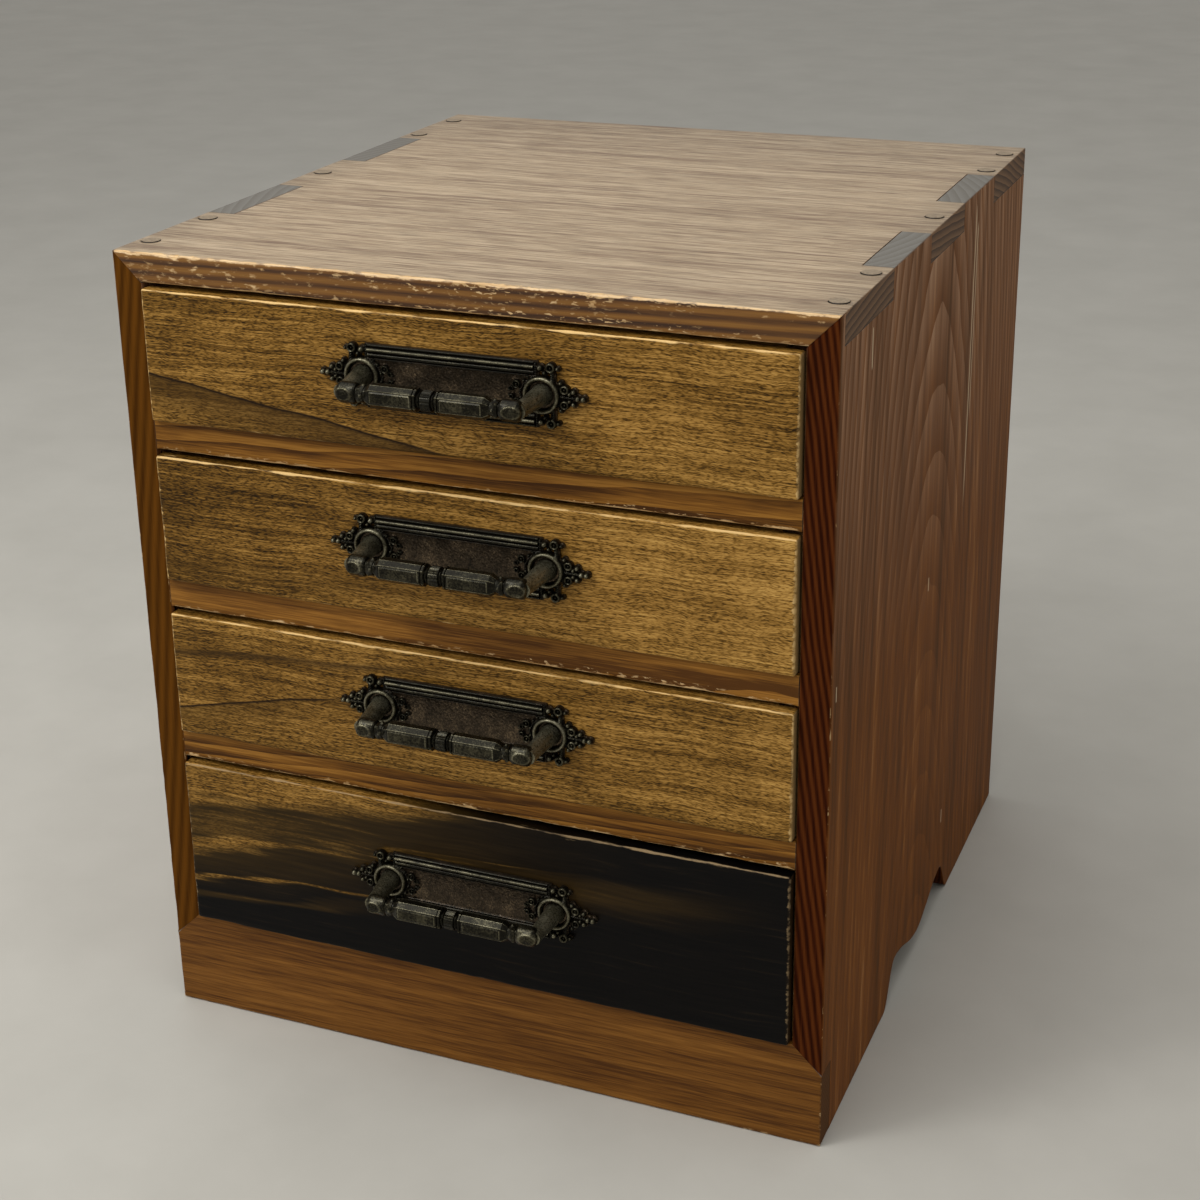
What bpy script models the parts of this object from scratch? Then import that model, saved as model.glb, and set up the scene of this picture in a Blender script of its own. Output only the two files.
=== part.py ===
"""A small tansu chest with four drawers, modelled as the boards and castings it is joined from.

The carcass is five boards: a top finger-jointed to two sides, a plinth mitred into the sides'
front edges, and a back set in a rabbet. Rails and runners carry three shallow drawers, and a
bottom panel carries the deep one. Each drawer has a cast pull: a plate with reeded edges,
rosettes and finials, and a bar with faceted grips. Units are metres, +Z is up, the front faces -Y.
"""
import math

import bmesh
import bpy

# Carcass boards
CHEST_WIDTH = 0.360
CHEST_DEPTH = 0.380
BOARD = 0.015
PLINTH_HEIGHT = 0.055
PLINTH_THICKNESS = 0.015
BACK_THICKNESS = 0.006
BACK_LAP = 0.007
BOTTOM_THICKNESS = 0.009
BOTTOM_HOUSING = 0.005

# Drawer openings, and the rails and runners between them
SHALLOW_OPENING = 0.069
DEEP_OPENING = 0.095
SHALLOW_DRAWERS = 3
RAIL_HEIGHT = 0.015
RAIL_DEPTH = 0.040
TENON_LENGTH = 0.006
TENON_HEIGHT = 0.007
TENON_SHOULDER = 0.007
RUNNER_WIDTH = 0.013
RUNNER_HEIGHT = 0.012

# Corner joint of the top and the sides: five fingers along the depth, mitred at the front
FRONT_FINGER = 0.086
REAR_FINGER = 0.082
MITRE_DEPTH = 0.006
PLUG_DIAMETER = 0.010
PLUG_DEPTH = 0.008
PLUG_FROM_EDGE = 0.022
PLUG_FROM_KEY = 0.0125
PLUG_SIDES = 20

# Bracket-shaped cut-out in the foot of each side, centred on the depth
CUTOUT_SPAN = 0.142
CUTOUT_PEAK_SPACING = 0.102
CUTOUT_PEAK = 0.0225
CUTOUT_DROP = 0.0105
CUTOUT_STEPS = 14

# Drawers
FRONT_THICKNESS = 0.015
FRONT_PROUD = 0.0035
FRONT_CHAMFER = 0.002
SIDE_PLAY = 0.0012
HEAD_PLAY = 0.0025
FOOT_PLAY = 0.0005
REAR_PLAY = 0.002
LAP_LEAF = 0.007
DRAWER_WALL = 0.009
WALL_DROP = 0.002
DRAWER_FINGER = 0.020
DRAWER_BOTTOM = 0.005
BOTTOM_RAISE = 0.005
BOTTOM_GROOVE = 0.004

# Plate of a pull, with relief measured from its back; its middle sits above the drawer front's middle
PULL_RAISE = 0.0030
POST_PITCH = 0.090
PLATE_HEIGHT = 0.031
PLATE_FIELD = 0.0012
BAND_HEIGHT = 0.0076
BAND_RELIEF = 0.0034
BAND_END = 0.0040
INNER_REED_HEIGHT = 0.0032
INNER_REED_RELIEF = 0.0026
ROSETTE_RADIUS = 0.0092
ROSETTE_EDGE = 0.0019
ROSETTE_RELIEF = 0.0038
ROSETTE_SLOPE = 0.0009
ROSETTE_RIM = 0.0011
ROSETTE_DISH = 0.0061
ROSETTE_FLOOR = 0.0016
ROSETTE_SIDES = 20
FINIAL_LENGTH = 0.0130
FINIAL_BEAD = 0.0030
FINIAL_SHOULDER = 0.0058
FINIAL_SPREAD = 0.0033
STEM_WIDTH = 0.0030
STEM_RELIEF = 0.0018
CORNER_BEAD = 0.0027
CORNER_INNER_BEAD = 0.0011
CORNER_OUTER_BEAD = 0.0054
BEAD_SIDES = 8

# Bar of a pull
PULL_REACH = 0.0240
PULL_DROP = 0.001
ARM_RADIUS = 0.0047
ARM_FLARE = 0.0028
ARM_NECK = 0.0038
ARM_TAPER_END = 0.0168
ARM_SIDES = 12
ELBOW_LENGTH = 0.0125
ELBOW_HEIGHT = 0.0100
ELBOW_DEPTH = 0.0088
ELBOW_OVERHANG = 0.0050
BULLET_STEPS = 3
COLLAR_LENGTH = 0.0042
COLLAR_DIAMETER = 0.0094
NECK_DIAMETER = 0.0068
NECK_SLOPE = 0.0008
GRIP_HEIGHT = 0.0104
GRIP_DEPTH = 0.0088
GRIP_FACET = 0.0029
GRIP_TAPER = 0.0030
WAIST_LENGTH = 0.0095
WAIST_RING = 0.0044
WAIST_DIAMETER = 0.0098

# Gap between neighbouring pieces, and how far a cutter runs past what it cuts
JOINT_GAP = 0.0003
OVERRUN = 0.004
SMOOTH_ANGLE = math.radians(38)

# Places that follow from the sizes
HALF_WIDTH = CHEST_WIDTH / 2
INNER_HALF = HALF_WIDTH - BOARD
BAR_DEPTH = max(GRIP_DEPTH, ELBOW_DEPTH, COLLAR_DIAMETER, WAIST_DIAMETER)
PULL_STANDS_OUT = FRONT_PROUD + JOINT_GAP + PULL_REACH + BAR_DEPTH / 2
FRONT_Y = (PULL_STANDS_OUT - CHEST_DEPTH) / 2
BACK_Y = FRONT_Y + CHEST_DEPTH
BACK_INNER_Y = BACK_Y - BACK_THICKNESS
OPENINGS = [SHALLOW_OPENING] * SHALLOW_DRAWERS + [DEEP_OPENING]
CHEST_HEIGHT = PLINTH_HEIGHT + sum(OPENINGS) + RAIL_HEIGHT * SHALLOW_DRAWERS + BOARD
CEILING = CHEST_HEIGHT - BOARD
SIDES = (("left", -1), ("right", 1))

RED_BROWN_SOFTWOOD = (0.16, 0.065, 0.024)
GOLDEN_HARDWOOD = (0.26, 0.14, 0.045)
BLACK_FIGURED_WOOD = (0.030, 0.020, 0.012)
DARK_END_GRAIN = (0.050, 0.032, 0.022)
PALE_INNER_WOOD = (0.42, 0.30, 0.17)
BLACK_BRONZE = (0.028, 0.025, 0.021)


def clear_scene():
    for item in list(bpy.data.objects):
        bpy.data.objects.remove(item, do_unlink=True)


def finish(name, colour, roughness, metallic=0.0):
    """A Principled material for one kind of surface."""
    surface = bpy.data.materials.new(name)
    surface.use_nodes = True
    shader = surface.node_tree.nodes["Principled BSDF"]
    shader.inputs["Base Color"].default_value = (*colour, 1.0)
    shader.inputs["Roughness"].default_value = roughness
    shader.inputs["Metallic"].default_value = metallic
    return surface


def add_object(name, bm, surface=None, parent=None):
    """Put a bmesh into the scene as one named object, with its faces pointing out."""
    bmesh.ops.recalc_face_normals(bm, faces=bm.faces)
    mesh = bpy.data.meshes.new(name)
    bm.to_mesh(mesh)
    bm.free()
    piece = bpy.data.objects.new(name, mesh)
    bpy.context.scene.collection.objects.link(piece)
    if surface:
        mesh.materials.append(surface)
    piece.parent = parent
    return piece


def smooth(mesh):
    """Shade the round stretches smooth and keep the arrises sharp."""
    mesh.shade_smooth()
    mesh.set_sharp_from_angle(angle=SMOOTH_ANGLE)


def prism_mesh(outline, axis, start, end):
    """Extrude a flat outline along an axis; the outline's pairs are the other two axes in order."""
    place = "XYZ".index(axis)
    bm = bmesh.new()
    corners = []
    for first, second in outline:
        point = [first, second]
        point.insert(place, start)
        corners.append(bm.verts.new(point))
    step = [0.0, 0.0, 0.0]
    step[place] = end - start
    grown = bmesh.ops.extrude_face_region(bm, geom=[bm.faces.new(corners)])["geom"]
    moved = [item for item in grown if isinstance(item, bmesh.types.BMVert)]
    bmesh.ops.translate(bm, verts=moved, vec=step)
    return bm


def box_mesh(corner, opposite):
    """A box between any two opposite corners."""
    x0, x1 = sorted((corner[0], opposite[0]))
    y0, y1 = sorted((corner[1], opposite[1]))
    z0, z1 = sorted((corner[2], opposite[2]))
    return prism_mesh([(x0, y0), (x1, y0), (x1, y1), (x0, y1)], "Z", z0, z1)


def loft_mesh(rings):
    """Skin a row of rings of equal count, and close both ends."""
    bm = bmesh.new()
    loops = [[bm.verts.new(point) for point in ring] for ring in rings]
    count = len(loops[0])
    for near, far in zip(loops, loops[1:]):
        for i in range(count):
            j = (i + 1) % count
            bm.faces.new((near[i], near[j], far[j], far[i]))
    bm.faces.new(loops[0])
    bm.faces.new(loops[-1])
    return bm


def turned_mesh(profile, sides, centre):
    """Turn (radius, height) pairs about an axis along -Y through centre (x, z)."""
    rings = []
    for radius, height in profile:
        turns = [2 * math.pi * i / sides for i in range(sides)]
        rings.append([(centre[0] + radius * math.cos(turn), -height,
                       centre[1] + radius * math.sin(turn)) for turn in turns])
    return loft_mesh(rings)


def peg_mesh(radius, length, top):
    """An upright round peg whose upper end is at top (x, y, z)."""
    bm = bmesh.new()
    bmesh.ops.create_cone(bm, cap_ends=True, segments=PLUG_SIDES, radius1=radius, radius2=radius,
                          depth=length)
    bmesh.ops.translate(bm, verts=bm.verts, vec=(top[0], top[1], top[2] - length / 2))
    return bm


def boolean(piece, name, bm, operation):
    """Cut or join a shape, which stays in the scene as a hidden wire tool beside the piece."""
    tool = add_object(name, bm, parent=piece.parent)
    tool.hide_render = True
    tool.display_type = "WIRE"
    change = piece.modifiers.new(name, "BOOLEAN")
    change.operation = operation
    change.solver = "EXACT"
    change.object = tool


def cut(piece, name, bm):
    boolean(piece, f"cut_{name}", bm, "DIFFERENCE")


def join(piece, name, bm):
    boolean(piece, f"join_{name}", bm, "UNION")


def cast(pattern, name):
    """The mesh that a pattern leaves in the mould: its modifiers worked in, pattern and tools removed."""
    graph = bpy.context.evaluated_depsgraph_get()
    mesh = bpy.data.meshes.new_from_object(pattern.evaluated_get(graph))
    mesh.name = name
    smooth(mesh)
    for change in pattern.modifiers[:]:
        bpy.data.objects.remove(change.object, do_unlink=True)
    bpy.data.objects.remove(pattern, do_unlink=True)
    return mesh


def mirrored(outline, sign):
    return [(sign * first, second) for first, second in outline]


def finger_bounds():
    """Ends of the five fingers along the depth, measured from the front."""
    shared = (CHEST_DEPTH - FRONT_FINGER - REAR_FINGER) / 3
    return [0.0, FRONT_FINGER, FRONT_FINGER + shared, FRONT_FINGER + 2 * shared,
            CHEST_DEPTH - REAR_FINGER, CHEST_DEPTH]


def plug_places():
    """Distances of the plugs from the front: two in each end finger, one in the middle finger."""
    bounds = finger_bounds()
    return [PLUG_FROM_EDGE, bounds[1] - PLUG_FROM_KEY, (bounds[2] + bounds[3]) / 2,
            bounds[4] + PLUG_FROM_KEY, CHEST_DEPTH - PLUG_FROM_EDGE]


def opening_floors():
    """Height of the floor of each drawer opening, from the top drawer down."""
    floors = []
    ceiling = CEILING
    for height in OPENINGS:
        floors.append(ceiling - height)
        ceiling -= height + RAIL_HEIGHT
    return floors


def cut_back_rabbet(piece):
    """The step round the rear edge that the back panel lies in."""
    reach = INNER_HALF + BACK_LAP
    cut(piece, f"{piece.name}_rabbet",
        box_mesh((-reach, BACK_INNER_Y - JOINT_GAP, PLINTH_HEIGHT - BOTTOM_THICKNESS - JOINT_GAP),
                 (reach, BACK_Y + OVERRUN, CEILING + BACK_LAP)))


def make_top(surface):
    """The top board: fingers one, three and five run out to the sides' outer faces."""
    top = add_object("top_panel", box_mesh((-HALF_WIDTH, FRONT_Y, CEILING),
                                           (HALF_WIDTH, BACK_Y, CHEST_HEIGHT)), surface)
    bounds = finger_bounds()
    slip = JOINT_GAP / 2
    aside = slip / math.sqrt(2)
    for hand, sign in SIDES:
        for start, end in ((bounds[1], bounds[2]), (bounds[3], bounds[4])):
            cut(top, f"{hand}_socket",
                box_mesh((sign * (INNER_HALF - JOINT_GAP), FRONT_Y + start - slip, CEILING - OVERRUN),
                         (sign * (HALF_WIDTH + OVERRUN), FRONT_Y + end + slip, CHEST_HEIGHT + OVERRUN)))
        mitre = [(INNER_HALF - OVERRUN - aside, CEILING - OVERRUN + aside),
                 (HALF_WIDTH + OVERRUN - aside, CHEST_HEIGHT + OVERRUN + aside),
                 (HALF_WIDTH + OVERRUN, CEILING - OVERRUN)]
        cut(top, f"{hand}_top_mitre",
            prism_mesh(mirrored(mitre, sign), "Y", FRONT_Y - OVERRUN, FRONT_Y + MITRE_DEPTH + slip))
    cut_back_rabbet(top)
    return top


def make_plugs(top, surface):
    """Round plugs let into the top's fingers, over the fixings into the sides."""
    radius = PLUG_DIAMETER / 2
    for hand, sign in SIDES:
        for number, place in enumerate(plug_places(), 1):
            centre = (sign * (HALF_WIDTH - BOARD / 2), FRONT_Y + place)
            cut(top, f"{hand}_plug_{number}",
                peg_mesh(radius, PLUG_DEPTH + OVERRUN, (*centre, CHEST_HEIGHT + OVERRUN)))
            plug = add_object(f"plug_{hand}_{number}",
                              peg_mesh(radius - JOINT_GAP, PLUG_DEPTH - JOINT_GAP, (0.0, 0.0, 0.0)), surface)
            plug.location = (*centre, CHEST_HEIGHT)
            smooth(plug.data)


def cutout_outline():
    """The bracket shape: an S-curve up from each foot to a peak, and a soft drop between the peaks."""
    half_span = CUTOUT_SPAN / 2
    half_peaks = CUTOUT_PEAK_SPACING / 2
    rise = []
    fall = []
    for i in range(CUTOUT_STEPS + 1):
        share = i / CUTOUT_STEPS
        swing = (1 - math.cos(math.pi * share)) / 2
        rise.append((half_span + (half_peaks - half_span) * share, CUTOUT_PEAK * swing))
        fall.append((half_peaks * (1 - share), CUTOUT_PEAK + (CUTOUT_DROP - CUTOUT_PEAK) * swing))
    rear_half = rise + fall[1:]
    front_half = [(-away, height) for away, height in reversed(rear_half[:-1])]
    centre = FRONT_Y + CHEST_DEPTH / 2
    curve = [(centre + away, height) for away, height in rear_half + front_half]
    return [(curve[0][0], -OVERRUN), *curve, (curve[-1][0], -OVERRUN)]


def make_side(hand, sign, surface):
    """A side board: it carries fingers two and four, and stands on the floor on two feet."""
    inner = sign * INNER_HALF
    outer = sign * HALF_WIDTH
    inside = sign * (INNER_HALF - OVERRUN)
    outside = sign * (HALF_WIDTH + OVERRUN)
    side = add_object(f"{hand}_side", box_mesh((inner, FRONT_Y, 0.0), (outer, BACK_Y, CHEST_HEIGHT)),
                      surface)
    bounds = finger_bounds()
    slip = JOINT_GAP / 2
    aside = slip / math.sqrt(2)
    seats = ((MITRE_DEPTH, bounds[1]), (bounds[2], bounds[3]), (bounds[4], CHEST_DEPTH + OVERRUN))
    for start, end in seats:
        cut(side, f"{hand}_seat",
            box_mesh((inside, FRONT_Y + start - slip, CEILING - JOINT_GAP),
                     (outside, FRONT_Y + end + slip, CHEST_HEIGHT + OVERRUN)))
    mitre = [(INNER_HALF - OVERRUN + aside, CEILING - OVERRUN - aside),
             (HALF_WIDTH + OVERRUN + aside, CHEST_HEIGHT + OVERRUN - aside),
             (INNER_HALF - OVERRUN + aside, CHEST_HEIGHT + OVERRUN - aside)]
    cut(side, f"{hand}_side_mitre",
        prism_mesh(mirrored(mitre, sign), "Y", FRONT_Y - OVERRUN, FRONT_Y + MITRE_DEPTH))
    lift = JOINT_GAP * math.sqrt(2)
    notch = [(INNER_HALF - OVERRUN, -OVERRUN), (HALF_WIDTH + OVERRUN, -OVERRUN),
             (HALF_WIDTH + OVERRUN, PLINTH_HEIGHT - BOARD - OVERRUN + lift),
             (INNER_HALF - OVERRUN, PLINTH_HEIGHT + OVERRUN + lift)]
    cut(side, f"{hand}_plinth_notch",
        prism_mesh(mirrored(notch, sign), "Y", FRONT_Y - OVERRUN,
                   FRONT_Y + PLINTH_THICKNESS + JOINT_GAP))
    cut(side, f"{hand}_foot", prism_mesh(cutout_outline(), "X", inside, outside))
    cut(side, f"{hand}_housing",
        box_mesh((inside, FRONT_Y + PLINTH_THICKNESS, PLINTH_HEIGHT - BOTTOM_THICKNESS - JOINT_GAP),
                 (sign * (INNER_HALF + BOTTOM_HOUSING), BACK_INNER_Y, PLINTH_HEIGHT + JOINT_GAP)))
    for number, floor in enumerate(opening_floors()[:-1], 1):
        cut(side, f"{hand}_mortise_{number}", tenon_mesh(floor, JOINT_GAP))
    cut_back_rabbet(side)


def tenon_mesh(floor, gap):
    """The tenon of the rail under an opening, from end to end, grown all round by gap."""
    middle = floor - RAIL_HEIGHT / 2
    reach = INNER_HALF + TENON_LENGTH + gap
    high = TENON_HEIGHT / 2 + gap
    return box_mesh((-reach, FRONT_Y + TENON_SHOULDER - gap, middle - high),
                    (reach, FRONT_Y + RAIL_DEPTH - TENON_SHOULDER + gap, middle + high))


def make_rails(surface):
    """Front rails between the drawers, with a stub tenon at each end."""
    reach = INNER_HALF - JOINT_GAP
    for number, floor in enumerate(opening_floors()[:-1], 1):
        rail = add_object(f"rail_{number}", box_mesh((-reach, FRONT_Y, floor - RAIL_HEIGHT),
                                                     (reach, FRONT_Y + RAIL_DEPTH, floor)), surface)
        join(rail, f"tenon_{number}", tenon_mesh(floor, 0.0))


def make_runners(surface):
    """Side runners behind the rails, level with them, one pair for each shallow drawer."""
    outer = INNER_HALF - JOINT_GAP
    for number, floor in enumerate(opening_floors()[:-1], 1):
        for hand, sign in SIDES:
            add_object(f"runner_{hand}_{number}",
                       box_mesh((sign * outer, FRONT_Y + RAIL_DEPTH + JOINT_GAP, floor - RUNNER_HEIGHT),
                                (sign * (outer - RUNNER_WIDTH), BACK_INNER_Y - JOINT_GAP, floor)), surface)


def make_plinth(surface):
    """The front foot board, with its two upper corners mitred."""
    outline = [(-HALF_WIDTH, 0.0), (HALF_WIDTH, 0.0), (HALF_WIDTH, PLINTH_HEIGHT - BOARD),
               (INNER_HALF, PLINTH_HEIGHT), (-INNER_HALF, PLINTH_HEIGHT),
               (-HALF_WIDTH, PLINTH_HEIGHT - BOARD)]
    add_object("plinth", prism_mesh(outline, "Y", FRONT_Y, FRONT_Y + PLINTH_THICKNESS), surface)


def make_back_and_bottom(surface):
    """The back in its rabbet, and the bottom housed in the sides behind the plinth."""
    low = PLINTH_HEIGHT - BOTTOM_THICKNESS
    reach = INNER_HALF + BACK_LAP - JOINT_GAP
    add_object("back_panel", box_mesh((-reach, BACK_INNER_Y, low),
                                      (reach, BACK_Y, CEILING + BACK_LAP - JOINT_GAP)), surface)
    reach = INNER_HALF + BOTTOM_HOUSING - JOINT_GAP
    add_object("bottom_panel", box_mesh((-reach, FRONT_Y + PLINTH_THICKNESS + JOINT_GAP, low),
                                        (reach, BACK_INNER_Y - JOINT_GAP, PLINTH_HEIGHT)), surface)


def rounded_front_mesh(low, high):
    """A drawer front whose four face edges are rounded over."""
    bm = box_mesh(low, high)
    bmesh.ops.recalc_face_normals(bm, faces=bm.faces)
    edges = [edge for edge in bm.edges if all(abs(v.co.y - low[1]) < JOINT_GAP for v in edge.verts)]
    bmesh.ops.bevel(bm, geom=edges, offset=FRONT_CHAMFER, offset_type="OFFSET", segments=2,
                    profile=0.5, affect="EDGES")
    return bm


def finger_spans(low, high):
    """Split a height into an odd number of fingers near the usual size, and give every second one."""
    count = 2 * max(1, round((high - low) / (2 * DRAWER_FINGER) - 0.5)) + 1
    marks = [low + (high - low) * i / count for i in range(count + 1)]
    return list(zip(marks[1::2], marks[2::2]))


def make_drawer(number, floor, opening, front_surface, inner_surface):
    """One drawer. Its empty stands on the slide's axis, in the plane of the front's face."""
    name = f"drawer_{number}"
    slide = bpy.data.objects.new(f"{name}_slide", None)
    bpy.context.scene.collection.objects.link(slide)
    slide.location = (0.0, FRONT_Y - FRONT_PROUD, floor)
    half = INNER_HALF - SIDE_PLAY
    inner = half - DRAWER_WALL
    groove = inner + BOTTOM_GROOVE
    length = CHEST_DEPTH - BACK_THICKNESS + FRONT_PROUD - REAR_PLAY
    back_face = length - DRAWER_WALL
    front_top = opening - HEAD_PLAY
    wall_top = front_top - WALL_DROP
    bottom_top = BOTTOM_RAISE + DRAWER_BOTTOM
    back_low = bottom_top + JOINT_GAP
    fingers = finger_spans(back_low, wall_top)
    slip = JOINT_GAP / 2

    front = add_object(f"{name}_front",
                       rounded_front_mesh((-half, 0.0, FOOT_PLAY), (half, FRONT_THICKNESS, front_top)),
                       front_surface, slide)
    cut(front, f"{name}_front_groove",
        box_mesh((-groove, FRONT_THICKNESS - BOTTOM_GROOVE, BOTTOM_RAISE - JOINT_GAP),
                 (groove, FRONT_THICKNESS + OVERRUN, bottom_top + JOINT_GAP)))
    back = add_object(f"{name}_back",
                      box_mesh((JOINT_GAP - inner, back_face, back_low),
                               (inner - JOINT_GAP, length, wall_top)),
                      inner_surface, slide)
    for lower, upper in fingers:
        join(back, f"{name}_finger",
             box_mesh((-half, back_face, lower + slip), (half, length, upper - slip)))
    for hand, sign in SIDES:
        inside = sign * (inner - OVERRUN)
        outside = sign * (half + OVERRUN)
        cut(front, f"{name}_{hand}_lap",
            box_mesh((sign * (inner - JOINT_GAP), LAP_LEAF, -OVERRUN),
                     (outside, FRONT_THICKNESS + OVERRUN, opening + OVERRUN)))
        side = add_object(f"{name}_{hand}_side",
                          box_mesh((sign * inner, LAP_LEAF + JOINT_GAP, JOINT_GAP),
                                   (sign * half, length, wall_top)), inner_surface, slide)
        for lower, upper in fingers:
            cut(side, f"{name}_{hand}_socket",
                box_mesh((inside, back_face - JOINT_GAP, lower - slip),
                         (outside, length + OVERRUN, upper + slip)))
        cut(side, f"{name}_{hand}_groove",
            box_mesh((inside, -OVERRUN, BOTTOM_RAISE - JOINT_GAP),
                     (sign * groove, length + OVERRUN, bottom_top + JOINT_GAP)))
    reach = groove - JOINT_GAP
    add_object(f"{name}_bottom",
               box_mesh((-reach, FRONT_THICKNESS - BOTTOM_GROOVE + JOINT_GAP, BOTTOM_RAISE),
                        (reach, length, bottom_top)), inner_surface, slide)
    return slide


def bead_mesh(radius, centre):
    """A cast bead: most of a half ball, on a skirt that reaches down to the plate's back."""
    profile = [(radius, 0.0)]
    for angle in (0.0, math.pi / 6, math.pi / 3):
        profile.append((radius * math.cos(angle), PLATE_FIELD + radius * math.sin(angle)))
    return turned_mesh(profile, BEAD_SIDES, centre)


def band_outline(sign):
    """Section of a reeded edge: two half-round ridges, the outer one fuller, on a flat back."""
    outer = PLATE_HEIGHT / 2
    inner = outer - BAND_HEIGHT
    split = inner + INNER_REED_HEIGHT
    points = [(0.0, outer), (0.0, inner)]
    for low, high, relief in ((inner, split, INNER_REED_RELIEF), (split, outer, BAND_RELIEF)):
        middle = (low + high) / 2
        for angle in (math.radians(155), math.radians(90), math.radians(25)):
            points.append((-relief * math.sin(angle), middle + (high - low) / 2 * math.cos(angle)))
    return [(depth, sign * place) for depth, place in points]


def pull_plate_mesh(surface):
    """The cast plate: a thin field between two reeded bands, a rosette round each post,
    beaded scrolls at the four corners and a trefoil finial at each end."""
    post = POST_PITCH / 2
    high = PLATE_HEIGHT / 2
    plate = add_object("plate_pattern", box_mesh((-post, -PLATE_FIELD, -high), (post, 0.0, high)), surface)
    for sign in (1, -1):
        join(plate, "band", prism_mesh(band_outline(sign), "X", BAND_END - post, post - BAND_END))
    rosette = [(ROSETTE_RADIUS, 0.0), (ROSETTE_RADIUS, ROSETTE_EDGE),
               (ROSETTE_RADIUS - ROSETTE_SLOPE, ROSETTE_RELIEF),
               (ROSETTE_RADIUS - ROSETTE_SLOPE - ROSETTE_RIM, ROSETTE_RELIEF), (ROSETTE_DISH, ROSETTE_FLOOR)]
    root = post + ROSETTE_RADIUS
    tip = root + FINIAL_LENGTH - FINIAL_BEAD
    for hand, sign in SIDES:
        join(plate, f"{hand}_rosette", turned_mesh(rosette, ROSETTE_SIDES, (sign * post, 0.0)))
        join(plate, f"{hand}_stem",
             box_mesh((sign * (root - STEM_WIDTH), -STEM_RELIEF, -STEM_WIDTH / 2),
                      (sign * tip, 0.0, STEM_WIDTH / 2)))
        trefoil = ((tip, 0.0), (root + FINIAL_SHOULDER, FINIAL_SPREAD),
                   (root + FINIAL_SHOULDER, -FINIAL_SPREAD))
        for along, up in trefoil:
            join(plate, f"{hand}_finial", bead_mesh(FINIAL_BEAD, (sign * along, up)))
        for way in (1, -1):
            for along in (post + CORNER_INNER_BEAD, post + CORNER_OUTER_BEAD):
                join(plate, f"{hand}_scroll",
                     bead_mesh(CORNER_BEAD, (sign * along, way * (high - CORNER_BEAD))))
    return cast(plate, "pull_plate")


def bar_ring(along, height, depth):
    """A chamfered, eight-sided section of the bar at one place along it."""
    facet = GRIP_FACET * min(height / GRIP_HEIGHT, depth / GRIP_DEPTH)
    high = height / 2
    deep = depth / 2
    corners = ((high, deep - facet), (high, facet - deep), (high - facet, -deep), (facet - high, -deep),
               (-high, facet - deep), (-high, deep - facet), (facet - high, deep), (high - facet, deep))
    return [(along, out - PULL_REACH, up - PULL_DROP) for up, out in corners]


def pull_bar_mesh(surface):
    """The cast bar: two bullet-ended elbows on turned arms, bead collars,
    two faceted grips and a ringed waist between them."""
    post = POST_PITCH / 2
    tip = post + ELBOW_OVERHANG
    elbow_end = tip - ELBOW_LENGTH
    collar_end = elbow_end - COLLAR_LENGTH
    waist_end = WAIST_LENGTH / 2
    ring_end = WAIST_RING / 2
    neck = (NECK_DIAMETER, NECK_DIAMETER)
    half = []
    for step in range(1, BULLET_STEPS + 1):
        angle = math.pi / 2 * step / BULLET_STEPS
        half.append((tip - ELBOW_OVERHANG * (1 - math.cos(angle)),
                     ELBOW_HEIGHT * math.sin(angle), ELBOW_DEPTH * math.sin(angle)))
    half += [(elbow_end + NECK_SLOPE, ELBOW_HEIGHT, ELBOW_DEPTH),
             (elbow_end, *neck),
             (elbow_end - NECK_SLOPE, COLLAR_DIAMETER, COLLAR_DIAMETER),
             (collar_end + NECK_SLOPE, COLLAR_DIAMETER, COLLAR_DIAMETER),
             (collar_end, *neck),
             (collar_end - GRIP_TAPER, GRIP_HEIGHT, GRIP_DEPTH),
             (waist_end + NECK_SLOPE, GRIP_HEIGHT, GRIP_DEPTH),
             (waist_end, *neck),
             (ring_end + NECK_SLOPE, *neck),
             (ring_end, WAIST_DIAMETER, WAIST_DIAMETER)]
    stations = half + [(-along, height, depth) for along, height, depth in reversed(half)]
    bar = add_object("bar_pattern", loft_mesh([bar_ring(*station) for station in stations]), surface)
    seat = ROSETTE_FLOOR + JOINT_GAP
    arm = [(ARM_RADIUS, seat), (ARM_RADIUS, seat + ARM_FLARE), (ARM_NECK, ARM_TAPER_END),
           (ARM_NECK, PULL_REACH)]
    for hand, sign in SIDES:
        join(bar, f"{hand}_arm", turned_mesh(arm, ARM_SIDES, (sign * post, 0.0)))
    return cast(bar, "pull_bar")


def make_pulls(slides, surface):
    """Four pulls cast from one pair of patterns, each a little above the middle of its drawer front."""
    meshes = (("pull_plate", pull_plate_mesh(surface)), ("pull_bar", pull_bar_mesh(surface)))
    for number, (slide, opening) in enumerate(zip(slides, OPENINGS), 1):
        for label, mesh in meshes:
            piece = bpy.data.objects.new(f"drawer_{number}_{label}", mesh)
            bpy.context.scene.collection.objects.link(piece)
            piece.parent = slide
            middle = (FOOT_PLAY + opening - HEAD_PLAY) / 2
            piece.location = (0.0, -JOINT_GAP, middle + PULL_RAISE)


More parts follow.
